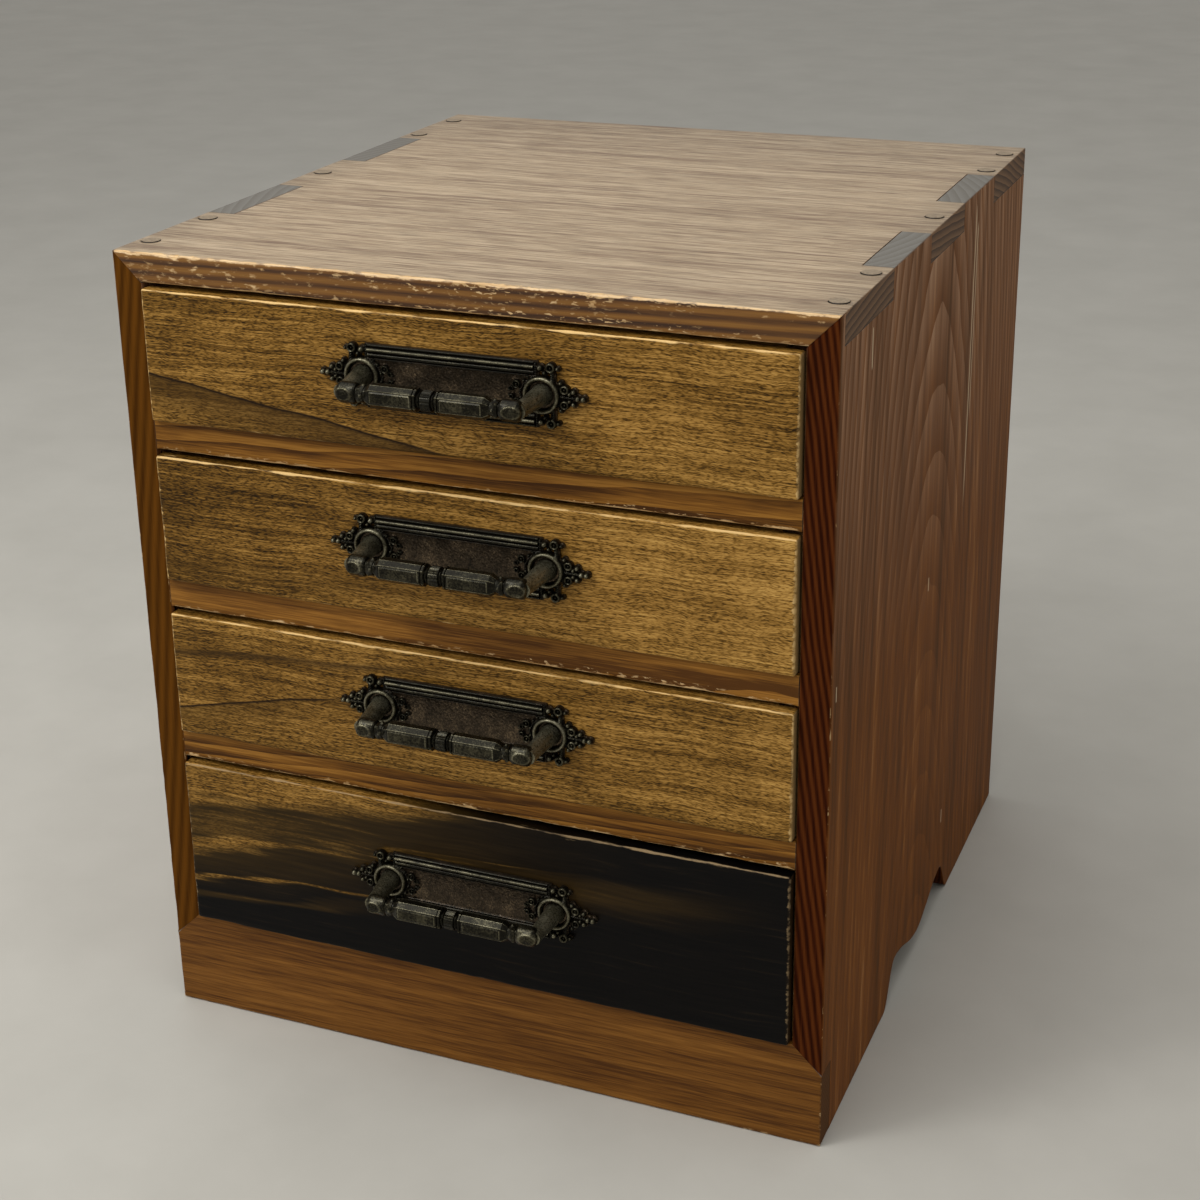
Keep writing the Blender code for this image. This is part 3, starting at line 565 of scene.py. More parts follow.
ROSETTE_FLOOR_RADIUS = 8.6
STEM_TWIST = 1.9
PLATE_GRID = (66.95, 15.75)
PEBBLE_HEIGHT = 0.16


def arch(distance, half_width, crown):
    """Height of a rounded ridge over its foot: an elliptic arch of that crown across its half width."""
    return crown * np.clip(1 - (distance / half_width) ** 2, 0, None) ** 0.7


def to_stem(x, z, stem):
    """Distance of points from a straight stem between two ends."""
    ax, az, bx, bz, _ = stem
    dx, dz = bx - ax, bz - az
    share = np.clip(((x - ax) * dx + (z - az) * dz) / (dx * dx + dz * dz), 0, 1)
    return np.hypot(x - ax - share * dx, z - az - share * dz)


def plate_field(x, z):
    """How far points lie outside the plate's edge, and the relief there, both in millimetres.

    The plate is mirrored in x and z. Its edge is the nearest of its field, rosettes and ornaments;
    its relief is the highest of the arches that they raise on the sheet.
    """
    x, z = np.abs(x), np.abs(z)
    edges = [np.maximum(x - REED_END, z - PLATE_HALF_HEIGHT / MM),
             np.hypot(x - POST / MM, z) - ROSETTE_FLOOR_RADIUS]
    arches = [arch(z - middle, half_height, crown) * (x < REED_END)
              for middle, half_height, crown in PLATE_REEDS]
    for bead_x, bead_z, radius in PLATE_BEADS:
        away = np.hypot(x - bead_x, z - bead_z)
        edges.append(away - radius - 0.25)
        arches.append(arch(away, radius, 0.9 + 1.1 * radius))
    for ring_x, ring_z, radius, half_width in PLATE_RINGS:
        away = np.hypot(x - ring_x, z - ring_z)
        edges.append(away - radius - half_width * 0.9)
        arches.append(arch(away - radius, half_width, 1.2 + 1.2 * half_width))
    twist = 0.85 + 0.15 * np.cos((x + 1.7 * z) * 2 * np.pi / STEM_TWIST)
    for stem in PLATE_STEMS:
        away = to_stem(x, z, stem)
        edges.append(away - stem[4] - 0.2)
        arches.append(arch(away, stem[4], 0.6 + stem[4]) * twist)
    return np.minimum.reduce(edges), np.maximum.reduce(arches)


def pebble(shape, seed):
    """A pebbled ground: random heights, smoothed over three grid steps both ways."""
    heights = np.random.default_rng(seed).normal(0, 1, shape)
    for axis in (0, 1):
        heights = (np.roll(heights, 1, axis) + heights + np.roll(heights, -1, axis)) / 3
    return heights


def plate_arrays():
    """The plate as a relief on a grid, closed by a flat back; points outside its edge are drawn onto it."""
    axes = [np.linspace(-half, half, round(2 * half * MM / PLATE_STEP) + 1) for half in PLATE_GRID]
    x, z = np.meshgrid(*axes, indexing="ij")
    outside, _ = plate_field(x, z)
    inside = outside < 0
    cell = inside[:-1, :-1] | inside[1:, :-1] | inside[:-1, 1:] | inside[1:, 1:]
    slope_x, slope_z = np.gradient(outside, *axes)
    steep = np.maximum(slope_x ** 2 + slope_z ** 2, 0.25)
    pull_in = np.clip(outside, 0, 0.7) / steep
    x = np.clip(x - slope_x * pull_in, -PLATE_GRID[0], PLATE_GRID[0])
    z = np.clip(z - slope_z * pull_in, -PLATE_HALF_HEIGHT / MM, PLATE_HALF_HEIGHT / MM)
    _, relief = plate_field(x, z)
    ground = (relief < 0.05) * pebble(x.shape, 5) * PEBBLE_HEIGHT
    height = SHEET + (relief + ground) * MM
    index = np.arange(x.size).reshape(x.shape)
    quads = np.stack([index[:-1, :-1], index[1:, :-1], index[1:, 1:], index[:-1, 1:]], axis=-1)[cell]
    edges = np.concatenate([quads[:, [k, (k + 1) % 4]] for k in range(4)])
    code = edges[:, 0] * x.size + edges[:, 1]
    back_code = edges[:, 1] * x.size + edges[:, 0]
    rim = edges[~np.isin(code, back_code)]
    walls = np.stack([rim[:, 1], rim[:, 0], rim[:, 0] + x.size, rim[:, 1] + x.size], axis=-1)
    faces = np.concatenate([quads, quads[:, ::-1] + x.size, walls])
    points = np.concatenate([np.stack([x * MM, depth, z * MM], axis=-1).reshape(-1, 3)
                             for depth in (-height, np.zeros_like(x))])
    used, faces = np.unique(faces, return_inverse=True)
    relief = np.concatenate([relief.ravel(), relief.ravel() * 0])[used]
    return points[used], faces.reshape(-1, 4).tolist(), relief / relief.max()


# Sections of the right half of a bar, from its middle to its tip, in millimetres:
# (place, half height, half depth, share of the eight-sided section)
BAR_SECTIONS = ((0.0, 4.75, 4.75, 0), (2.4, 4.75, 4.75, 0), (2.6, 4.5, 4.5, 0), (2.75, 3.6, 3.6, 0),
                (3.1, 3.5, 3.5, 0), (3.25, 4.1, 4.1, 0), (3.6, 4.4, 4.4, 0), (3.95, 4.1, 4.1, 0),
                (4.1, 3.6, 3.6, 0), (4.6, 3.6, 3.6, 0), (4.75, 4.8, 4.0, 1), (5.0, 5.2, 4.4, 1),
                (5.8, 5.2, 4.4, 1), (6.0, 4.7, 3.9, 1), (6.4, 4.7, 3.9, 1), (6.6, 5.2, 4.4, 1),
                (28.0, 5.2, 4.4, 1), (30.4, 3.6, 3.3, 1), (30.9, 3.4, 3.4, 0), (31.3, 3.4, 3.4, 0),
                (31.6, 3.8, 3.8, 0), (33.1, 4.1, 4.1, 0), (34.6, 3.8, 3.8, 0), (34.9, 3.4, 3.4, 0),
                (35.2, 3.5, 3.5, 0), (35.6, 4.5, 4.0, 0), (36.4, 4.95, 4.35, 0), (43.0, 5.0, 4.4, 0))
BAR_END = 43.0
BAR_NOSE = 3.0
BAR_STEP = 0.24
MIDDLE_RING_END = 2.4
WAIST_END = 4.7
PANEL_ENDS = (7.3, 27.5)
PANEL_HALF_HEIGHT = 2.75
PANEL_SLOPE = 0.4
PANEL_LIFT = 0.4
COLLAR = 33.1
COLLAR_RADIUS = 4.2
COLLAR_KNOBS = 8
KNOB_SHIFT = 0.75
KNOB_HEIGHT = 0.7
KNOB_SPREAD = 0.6
SERRATIONS = 36
SERRATION_HEIGHT = 0.13
ELBOW = 43.4
ELBOW_START = 36.0
OVAL_MIDDLE = 41.4
OVAL_HALF = (4.6, 3.0)
OVAL_LIFT = 0.4
OVAL_RIDGE = 0.9
OVAL_RIDGE_WIDTH = 0.16
NOSE_STEPS = 14
EDGE_STEPS = 12
FACET_HEIGHT = 0.64
FACET_DEPTH = 0.42
ARM_SIDES = 36
ARM_STEPS = 26
ARM_PAINTED_LIGHT = 0.95
ARM_RADII = ((1.9, 2.6, 4.2, 8.0, 17.0, 25.0), (5.3, 5.0, 4.75, 4.55, 3.9, 3.8))


def bar_section():
    """Points round the bar's two sections, for height 1 and depth 1: eight-sided, and round."""
    quarter = np.array([(FACET_HEIGHT, 1.0), (1.0, FACET_DEPTH)])
    corners = np.concatenate([quarter, quarter[::-1] * (1, -1), quarter * (-1, -1), quarter[::-1] * (-1, 1)])
    share = np.arange(EDGE_STEPS)[:, None] / EDGE_STEPS
    ends = zip(corners, np.roll(corners, -1, axis=0))
    eight = np.concatenate([start * (1 - share) + end * share for start, end in ends])
    angle = np.arctan2(eight[:, 0], eight[:, 1])
    return eight, np.stack([np.sin(angle), np.cos(angle)], axis=1)


def bar_points():
    """The bar and its tone, part rub and part painted light: its section carried along x, from round to
    eight-sided and back.

    Panels on the grips, a framed oval on each elbow, knobs on the collars and serrations on the
    middle ring stand out from it by small heights.
    """
    straight = np.arange(0.0, BAR_END, BAR_STEP)
    nose = BAR_END + BAR_NOSE * np.sin(np.linspace(0, math.pi / 2, NOSE_STEPS))
    sharp = np.array([section[0] for section in BAR_SECTIONS])
    half = np.unique(np.concatenate([straight, sharp, nose]))
    along = np.concatenate([-half[:0:-1], half])
    away = np.abs(along)
    place, high, deep, eight_share = np.array(BAR_SECTIONS, float).T
    taper = np.sqrt(np.clip(1 - (np.clip(away - BAR_END, 0, None) / BAR_NOSE) ** 2, 1e-4, 1))
    high = np.interp(away, place, high) * taper
    deep = np.interp(away, place, deep) * taper
    share = np.interp(away, place, eight_share)[:, None]
    eight, circle = bar_section()
    up = high[:, None] * (eight[:, 0] * share + circle[:, 0] * (1 - share))
    out = deep[:, None] * (eight[:, 1] * share + circle[:, 1] * (1 - share))
    angle = np.arctan2(circle[:, 0], circle[:, 1])[None]
    far = away[:, None]
    inside = np.minimum(far - PANEL_ENDS[0], PANEL_ENDS[1] - far)
    panel = np.minimum(inside, PANEL_HALF_HEIGHT - np.abs(up)) / PANEL_SLOPE
    lift = PANEL_LIFT * np.clip(panel, 0, 1) * (out > 0.9 * deep[:, None]) * (share > 0.9)
    oval = np.hypot((far - OVAL_MIDDLE) / OVAL_HALF[0], up / OVAL_HALF[1])
    ridge = (out > 0) * (far > ELBOW_START) * np.exp(-((oval - OVAL_RIDGE) / OVAL_RIDGE_WIDTH) ** 2)
    lift += OVAL_LIFT * ridge
    knob_out = np.zeros_like(up)
    for knob in range(COLLAR_KNOBS):
        middle = COLLAR + (KNOB_SHIFT if knob % 2 else -KNOB_SHIFT)
        bend = np.angle(np.exp(1j * (angle - 2 * math.pi * knob / COLLAR_KNOBS))) * COLLAR_RADIUS
        knob_out += KNOB_HEIGHT * np.exp(-((far - middle) ** 2 + bend ** 2) / KNOB_SPREAD)
    knob_out += SERRATION_HEIGHT * np.cos(SERRATIONS * angle) * (far < MIDDLE_RING_END)
    swell = 1 + knob_out / np.maximum(np.hypot(up, out), 0.5)
    up, out = up * swell, out * swell + lift
    x = np.repeat(along[:, None], up.shape[1], axis=1)
    corner = np.abs((np.arange(up.shape[1]) + EDGE_STEPS / 2) % EDGE_STEPS - EDGE_STEPS / 2) < 0.6
    framed = (panel > 0) & (panel < 1) & (lift > 0)
    # The tone: the grips' front panels lighter than the facets round them, as painted light; facet corners
    # and panel frames at full brightness, partly polish and partly painted glints; oval ridges and knobs
    # lighter where they stand out and are rubbed, and the elbows lighter
    bright = 0.36 + 0.22 * np.clip(panel, 0, 1) * (lift > 0)
    bright = np.maximum(bright, 1.0 * np.maximum(corner * (share > 0.9), framed))
    bright = np.maximum(bright, 0.46 + 0.36 * ridge)
    bright = np.where(far > ELBOW_START, np.maximum(bright, 0.52), bright)
    points = np.stack([x * MM, -PULL_REACH - out * MM, up * MM - PULL_DROP], axis=-1)
    return points, bright + 0.4 * knob_out * (far > WAIST_END)


def arm_points(sign):
    """An arm from its rosette to the elbow: a circle carried along -y, narrowing as it leaves the rosette."""
    out = np.linspace(ROSETTE_SEAT, PULL_REACH + 1 * MM, ARM_STEPS)[:, None]
    radius = np.interp(out / MM, *ARM_RADII) * MM
    angle = 2 * np.pi * np.arange(ARM_SIDES) / ARM_SIDES
    share = np.clip((out - ROSETTE_SEAT) / (PULL_REACH - ROSETTE_SEAT), 0, 1)
    middle = sign * (POST + (ELBOW * MM - POST) * share)
    return np.stack([middle + radius * np.cos(angle), -np.repeat(out, ARM_SIDES, axis=1),
                     radius * np.sin(angle) - PULL_DROP * share], axis=-1)


def make_pulls(surface, bolt_metal):
    """Plate, bar and fixing nuts of each drawer's pull."""
    plate, plate_faces, plate_relief = plate_arrays()
    bar, bright = bar_points()
    shells = [bar] + [arm_points(sign) for _, sign in SIDES]
    # The arms' tone is painted light: they are made lighter all over, as if lit
    bright = np.concatenate([bright.ravel()] + [np.full(arm[..., 0].size, ARM_PAINTED_LIGHT) for arm in shells[1:]])
    bar, bar_faces = joined([(shell.reshape(-1, 3), *shell.shape[:2]) for shell in shells])
    for number in DRAWERS:
        low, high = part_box(f"drawer_{number}_pull_plate")
        middle = np.array([0.0, high.y, (low.z + high.z) / 2])
        cast = put_mesh(f"cast_pull_plate_{number}", plate + middle, plate_faces, {"relief": plate_relief})
        finish_piece(cast, f"drawer_{number}", f"drawer_{number}_pull_plate", surface)
        # The bar's relief attribute holds its tone, part rub and part painted light and glints
        cast = put_mesh(f"cast_pull_bar_{number}", bar + middle, bar_faces, {"relief": bright},
                        angle=FACET_ANGLE)
        finish_piece(cast, f"drawer_{number}", f"drawer_{number}_pull_bar", surface)
        make_nuts(number, middle[2], bolt_metal)


# A washer, a nut and a bolt's end, in millimetres from the drawer front: (radius, height) pairs and sides
FIXING_RINGS = (([(4.5, 0.0), (4.5, 0.7), (4.2, 0.8)], 40),
                ([(3.6, 0.8), (4.0, 1.1), (4.0, 3.5), (3.6, 3.8)], 6),
                ([(2.0, 3.8), (2.0, 5.2), (1.6, 5.6)], 32))


def make_nuts(number, height, surface):
    """Washers, nuts and bolt ends of one pull, on the inside of its drawer front."""
    _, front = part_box(f"drawer_{number}_front")
    shells = []
    for _, sign in SIDES:
        for profile, count in FIXING_RINGS:
            x, z, y = (turned_points(profile, count) * MM).T
            placed = np.stack([x + sign * POST, y + front.y, z + height], axis=-1)
            shells.append((placed, len(profile), count))
    nuts = put_mesh(f"pull_nuts_{number}", *joined(shells))
    nuts.data.materials.append(surface)
    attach(nuts, f"drawer_{number}")


# A wave texture of scale 1 repeats every tenth of pi metres
WAVE_PERIOD = math.pi / 10


def linear(hex_colour):
    """An sRGB hex colour as linear red, green, blue and full alpha."""
    channels = [int(hex_colour[i:i + 2], 16) / 255 for i in (1, 3, 5)]
    return (*(c / 12.92 if c <= 0.04045 else ((c + 0.055) / 1.055) ** 2.4 for c in channels), 1.0)


def connect(item, inputs):
    """Fills a node's inputs: another node's output is linked, any other value is set."""
    for name, value in inputs.items():
        if isinstance(value, bpy.types.NodeSocket):
            item.id_data.links.new(value, item.inputs[name])
        else:
            item.inputs[name].default_value = value


def add(tree, kind, inputs=None, out=0, stops=(), **settings):
    """Adds a shader node with its inputs and settings, and gives one of its outputs. The stops of a
    colour ramp are (place, sRGB hex)."""
    item = tree.nodes.new("ShaderNode" + kind)
    for name, value in settings.items():
        setattr(item, name, value)
    connect(item, inputs or {})
    if stops:
        ramp = item.color_ramp.elements
        for place, colour in stops[1:-1]:
            ramp.new(place).color = linear(colour)
        for end in (0, -1):
            ramp[end].position = stops[end][0]
            ramp[end].color = linear(stops[end][1])
    return item.outputs[out]


def new_surface(name):
    """A node material, with a function that adds nodes to it, and its shader."""
    surface = bpy.data.materials.new(name)
    surface.use_nodes = True
    return surface, partial(add, surface.node_tree), surface.node_tree.nodes["Principled BSDF"]


def grain_layers(put, space, rows, lean=(0.0, 0.0, 0.0)):
    """Layers of marks in the grain, from 0 to 1: noise whose size along x, y and z is one over the scale.

    A row is the noise's place, scale, detail and roughness, and where its contrast is raised, the two
    values that become 0 and 1.
    """
    layers = []
    for place, scale, detail, roughness, *spread in rows:
        stretched = put("Mapping", {"Vector": space, "Location": place, "Rotation": lean, "Scale": scale})
        layer = put("TexNoise", {"Vector": stretched, "Scale": 1.0, "Detail": detail, "Roughness": roughness})
        if spread:
            layer = put("MapRange", {0: layer, 1: spread[0], 2: spread[1]})
        layers.append(layer)
    return layers


def softwood(name, along, pith, tilt, ring, face, edge, seed, sheen=0.12, weights=(0.3, 0.5, 0.5),
             ends=("#8A7C6B", "#4B3F33"), edge_ring=2.1, flecked=0.12, lined=0.0, grime=0.0, upper_light_and_wear=0.0,
             scratches=()):
    """Oiled conifer board, planed and long worn: growth rings run as bands along the grain, fine fibres
    streak them, arrises are rubbed down to pale wood, and end grain is grey.

    The rings are distances from a pith line over the ring's width; the line lies at `pith` and leans by
    `tilt`. `face` colours the broad faces and `edge` the narrow ones, whose rings are `edge_ring` mm wide;
    `weights` says how much of the faces' tone comes from rings, fibres and streaks, `lined` how much
    from long straight lines, and `flecked` how dark their flecks are. `grime` darkens a board towards
    its left, right and rear edges, and `upper_light_and_wear` pales an upright one in patches towards its
    upper end: painted light from above, partly scuffing.
    `scratches` are pale upright lines, each (y, lowest z, highest z).
    """
    surface, put, shader = new_surface(name)
    grain = place = put("TexCoord", out=3)
    x, y, z = put("SeparateXYZ", {0: place}).node.outputs
    if along == "z":
        grain = put("Mapping", {"Vector": place, "Rotation": (0.0, math.pi / 2, 0.0)})
    log = put("Mapping", {"Vector": grain, "Location": pith, "Rotation": tilt, "Scale": (0.5, 1, 1)})
    ringed = {"wave_type": "RINGS", "rings_direction": "X"}
    rings = put("TexWave", {"Vector": log, "Scale": WAVE_PERIOD / ring, "Distortion": 3.0, "Detail": 2.5,
                            "Detail Scale": 0.3, "Detail Roughness": 0.55, "Phase Offset": float(seed)}, 1,
                wave_profile="SAW", **ringed)
    narrow = put("TexWave", {"Vector": log, "Scale": WAVE_PERIOD / (edge_ring * MM), "Distortion": 5.0,
                             "Detail": 2.0, "Detail Scale": 0.12, "Phase Offset": float(seed)}, 1,
                 wave_profile="SIN", **ringed)
    # Fibres 25 mm long and 0.7 mm across, streaks 200 mm and 8 mm, dark flecks 13 mm and 0.5 mm, patches
    # of wear 6 mm and 2 mm
    fibres, streaks, flecks, patches = grain_layers(put, grain, (
        ((seed, 0, 0), (40, 1500, 1500), 2.5, 0.6, 0.28, 0.72),
        ((seed, 3, 1), (5, 120, 120), 3.0, 0.55, 0.28, 0.72),
        ((seed, 5, 2), (75, 2100, 2100), 2.0, 0.65, 0.5, 0.62),
        ((seed, 7, 5), (160, 450, 450), 4.0, 0.62)))
    # Pores of the end grain, 0.8 mm
    pores = put("TexNoise", {"Vector": grain, "Scale": 1300.0, "Detail": 2.0})
    wall, end, rub = (put("Attribute", out=2, attribute_name=label) for label in ("wall", "end_grain", "rub"))
    # Arrises are rubbed where the wear passes a wandering threshold, and nicked, 4 mm long and 1 mm across,
    # where wear and a streak let it show
    rubbed = put("Math", {0: rub, 1: 0.62, 2: patches}, operation="MULTIPLY_ADD")
    rubbed = put("MapRange", {0: rubbed, 1: 0.94, 2: 1.08, 3: 0.0, 4: 0.95})
    nick_space = put("Mapping", {"Vector": grain, "Location": (seed, 1, 9), "Rotation": (0.0, 0.25, 0.1),
                                 "Scale": (240, 800, 800)})
    nicks = put("TexNoise", {"Vector": nick_space, "Scale": 1.0, "Detail": 2.0, "Distortion": 0.6})
    nicks = put("MapRange", {0: nicks, 1: 0.6, 2: 0.66, 3: 0.0, 4: 0.85})
    streaked = put("Math", {0: rub, 1: 0.5, 2: streaks}, operation="MULTIPLY_ADD")
    streaked = put("MapRange", {0: streaked, 1: 0.7, 2: 0.95})
    near_edge = put("MapRange", {0: rub, 1: 0.3, 2: 0.5})
    for allowed in (streaked, near_edge):
        nicks = put("Math", {0: nicks, 1: allowed}, operation="MULTIPLY")
    rubbed = put("Math", {0: rubbed, 1: nicks}, operation="MAXIMUM")
    face_shares = [*zip((rings, fibres, streaks), weights)]
    if lined:
        # Straight lines, 3 mm apart and 400 mm long
        lines = grain_layers(put, grain, [((seed, 2, 4), (2.5, 340, 340), 3.0, 0.6, 0.3, 0.7)])
        face_shares.append((lines[0], lined))
    # Weighted sums of the layers: the tones of faces, edges and ends, the roughness and the relief
    sums = []
    for total, shares in ((-0.5 * lined, face_shares),
                          (0.0, ((fibres, 0.28), (streaks, 0.17), (narrow, 0.55))),
                          (-0.05, ((rings, 0.6), (pores, 0.5))), (0.36, ((fibres, 0.16), (end, 0.4))),
                          (rings, ((fibres, 0.5), (rubbed, -1.5)))):
        for layer, weight in shares:
            total = put("Math", {0: layer, 1: weight, 2: total}, operation="MULTIPLY_ADD")
        sums.append(total)
    face_tone, edge_tone, end_tone, rough, height = sums
    dirt = 0.0
    if grime:
        away = put("Math", {0: x}, operation="ABSOLUTE")
        at_sides = put("MapRange", {0: away, 1: HALF_WIDTH - 30 * MM, 2: HALF_WIDTH, 3: 0.0, 4: grime})
        at_rear = put("MapRange", {0: y, 1: BACK_Y - 110 * MM, 2: BACK_Y, 3: 0.0, 4: grime})
        dirt = put("Math", {0: at_sides, 1: at_rear}, operation="MAXIMUM")
    dark = put("Math", {0: flecks, 1: flecked, 2: dirt}, operation="MULTIPLY_ADD")
    coats = [(dark, linear("#1E150D"))]
    # Painted light: an upright board is paled towards its upper end as if lit from above, in patches of its
    # rings and streaks; partly scuffing
    if upper_light_and_wear:
        upper = put("MapRange", {0: z, 1: 0.5 * HEIGHT, 2: HEIGHT, 3: 0.0, 4: upper_light_and_wear})
        pale_patches = put("Math", {0: rings, 1: streaks, 2: 0.08}, operation="MULTIPLY_ADD")
        coats.append((put("Math", {0: upper, 1: pale_patches}, operation="MULTIPLY"), linear("#BE9C80")))
    for scratch_y, low, high in scratches:
        off = put("Math", {0: streaks, 1: 1.6 * MM, 2: y}, operation="MULTIPLY_ADD")
        off = put("Math", {0: off, 1: scratch_y}, operation="SUBTRACT")
        off = put("Math", {0: off}, operation="ABSOLUTE")
        line = put("MapRange", {0: off, 1: 0.4 * MM, 2: 1.1 * MM, 3: 1.0, 4: 0.0})
        above = put("MapRange", {0: z, 1: low, 2: 0.9 * low + 0.1 * high})
        below = put("MapRange", {0: z, 1: 0.96 * high + 0.04 * low, 2: high, 3: 0.8, 4: 0.0})
        for limit in (above, below):
            line = put("Math", {0: line, 1: limit}, operation="MULTIPLY")
        coats.append((line, linear("#D2BC9C")))
    coats += [(wall, put("ValToRGB", {0: edge_tone}, stops=edge)),
              (end, put("ValToRGB", {0: end_tone}, stops=((0.2, ends[0]), (0.8, ends[1])))),
              (rubbed, put("ValToRGB", {0: fibres}, stops=((0.2, "#E0C08E"), (0.9, "#BC935C"))))]
    colour = put("ValToRGB", {0: face_tone}, stops=face)
    for amount, coat in coats:
        colour = put("Mix", {0: amount, 6: colour, 7: coat}, 2, data_type="RGBA")
    connect(shader, {"Base Color": colour, "Roughness": rough, "Specular IOR Level": sheen,
                     "Normal": put("Bump", {"Strength": 0.3, "Distance": 0.12 * MM, "Height": height})})
    return surface


def hardwood(name, seed, brighter=0.0, streaks=(), black=None):
    """Golden drawer-front hardwood, planed and oiled: short dark flecks lie along a gently waving grain,
    with cloudy cross figure and a few dark lines. `brighter` lightens it towards the right; `streaks`
    are dark ones, each its shape and its colour."""
    surface, put, shader = new_surface(name)
    place = put("TexCoord", out=3)
    # The grain waves by up to 3 mm every 55 mm, and its marks curl by up to 2 mm every 12 mm besides
    spaces = [place]
    for spot, scale, detail, rise in (((seed, 0, seed), (18, 1, 9), 1.5, 6 * MM),
                                      ((seed, 1, 0), (85, 1, 70), 1.0, 3.5 * MM)):
        wave_space = put("Mapping", {"Vector": place, "Location": spot, "Scale": scale})
        wave = put("TexNoise", {"Vector": wave_space, "Scale": 1.0, "Detail": detail}, 1)
        wave = put("VectorMath", {0: wave, 1: (0.0, 0.0, rise)}, operation="MULTIPLY")
        spaces.append(put("VectorMath", {0: spaces[-1], 1: wave}, operation="ADD"))
    _, bent, curled = spaces
    # Flecks 8 mm long and 0.6 mm across, strokes 2.4 mm and 0.4 mm, lines 70 mm and 1 mm, bands 140 mm and
    # 8 mm, clouds of 20 to 50 mm, patches of wear 17 mm and 2 mm
    flecks, strokes = grain_layers(put, curled, (((seed, 0, 0), (120, 1600, 1600), 1.5, 0.55, 0.33, 0.66),
                                                 ((seed, 0, 3), (420, 2700, 2700), 1.0, 0.5, 0.46, 0.66)))
    lines, bands = grain_layers(put, bent, (((seed, 6, 0), (14, 1100, 1100), 2.5, 0.6, 0.3, 0.7),
                                            ((seed, 4, 0), (7, 120, 120), 3.0, 0.6)))
    clouds, patches = grain_layers(put, place, (((seed, 2, 0), (48, 40, 20), 3.0, 0.55),
                                                ((seed, 7, 5), (60, 420, 420), 4.0, 0.6)))
    across = put("SeparateXYZ", {0: place})
    tone = 0.03
    for layer, weight in ((flecks, 0.12), (strokes, 0.27), (lines, 0.28), (clouds, 0.18), (bands, 0.48),
                          (across, -0.6 * brighter)):
        tone = put("Math", {0: layer, 1: weight, 2: tone}, operation="MULTIPLY_ADD")
    colour = put("ValToRGB", {0: tone}, stops=((0.22, "#CFA45A"), (0.44, "#AB8140"), (0.6, "#815D26"),
                                               (0.75, "#563B12"), (0.95, "#221505")))
    for *shape, shade in streaks:
        mask = streak_mask(put, bent, *shape)
        colour = put("Mix", {0: mask, 6: colour, 7: linear(shade)}, 2, data_type="RGBA")
    if black:
        colour = black(put, bent, colour)
    rub, end = (put("Attribute", out=2, attribute_name=label) for label in ("rub", "end_grain"))
    # Pale rubbed arrises: worn wood, and along the upper arris partly a painted highlight, on the black front
    # too
    rubbed = put("Math", {0: rub, 1: 0.7, 2: patches}, operation="MULTIPLY_ADD")
    rubbed = put("MapRange", {0: rubbed, 1: 1.0, 2: 1.14, 3: 0.0, 4: 0.55 if black else 0.95})
    for amount, shade in ((rubbed, "#B69A70" if black else "#E2BC7C"),
                          (end, "#2E2214" if black else "#8A7048")):
        colour = put("Mix", {0: amount, 6: colour, 7: linear(shade)}, 2, data_type="RGBA")
    bump = put("Bump", {"Strength": 0.2, "Distance": 0.1 * MM, "Height": flecks}, invert=True)
    connect(shader, {"Base Color": colour, "Roughness": put("MapRange", {0: flecks, 3: 0.34, 4: 0.5}),
                     "Specular IOR Level": 0.1, "Normal": bump})
    return surface


def streak_mask(put, place, start, slope, above, below, reach, depth):
    """How much of a streak lies at each place: it starts at (x, z), rises by `slope`, fades out `above` and
    `below` its line, and along x between the two ends of `reach`."""
    line = put("VectorMath", {0: place, 1: (-slope, 0.0, 1.0)}, 1, operation="DOT_PRODUCT")
    away = put("Math", {0: line, 1: start[1] - slope * start[0]}, operation="SUBTRACT")
    x = put("SeparateXYZ", {0: place})
    mask = put("MapRange", {0: away, 1: 0.0, 2: above, 3: depth, 4: 0.0}, interpolation_type="SMOOTHSTEP")
    under = put("MapRange", {0: away, 1: -below, 2: 0.0, 3: 0.0, 4: 1.0}, interpolation_type="SMOOTHSTEP")
    fade = put("MapRange", {0: x, 1: reach[0], 2: reach[1], 3: 1.0, 4: 0.0}, interpolation_type="SMOOTHSTEP")
    for side in (under, fade):
        mask = put("Math", {0: mask, 1: side}, operation="MULTIPLY")
    return mask


# Streaks that run from the golden wedge into the black front: the place where each starts, its slope,
# how far it fades upwards and downwards, where along x it fades out, and its strength
GOLDEN_WEDGE = ((-0.164, 0.1485), 0.14, 60 * MM, 40 * MM, (-0.05, 0.06), 1.0)
GOLDEN_TONGUES = (((-0.164, 0.1040), 0.16, 10 * MM, 10 * MM, (-0.13, 0.0), 0.85),
                  ((-0.164, 0.1180), 0.12, 26 * MM, 46 * MM, (-0.15, 0.10), 0.48),
                  ((-0.164, 0.0860), 0.12, 2.6 * MM, 3.0 * MM, (-0.09, 0.0), 0.75),
                  ((-0.164, 0.0740), 0.14, 4.0 * MM, 4.0 * MM, (-0.12, -0.03), 0.35),
                  ((-0.010, 0.1240), 0.10, 3.0 * MM, 4.0 * MM, (0.01, 0.08), 0.45),
                  ((0.040, 0.1200), 0.06, 14 * MM, 14 * MM, (0.06, 0.17), 0.34))


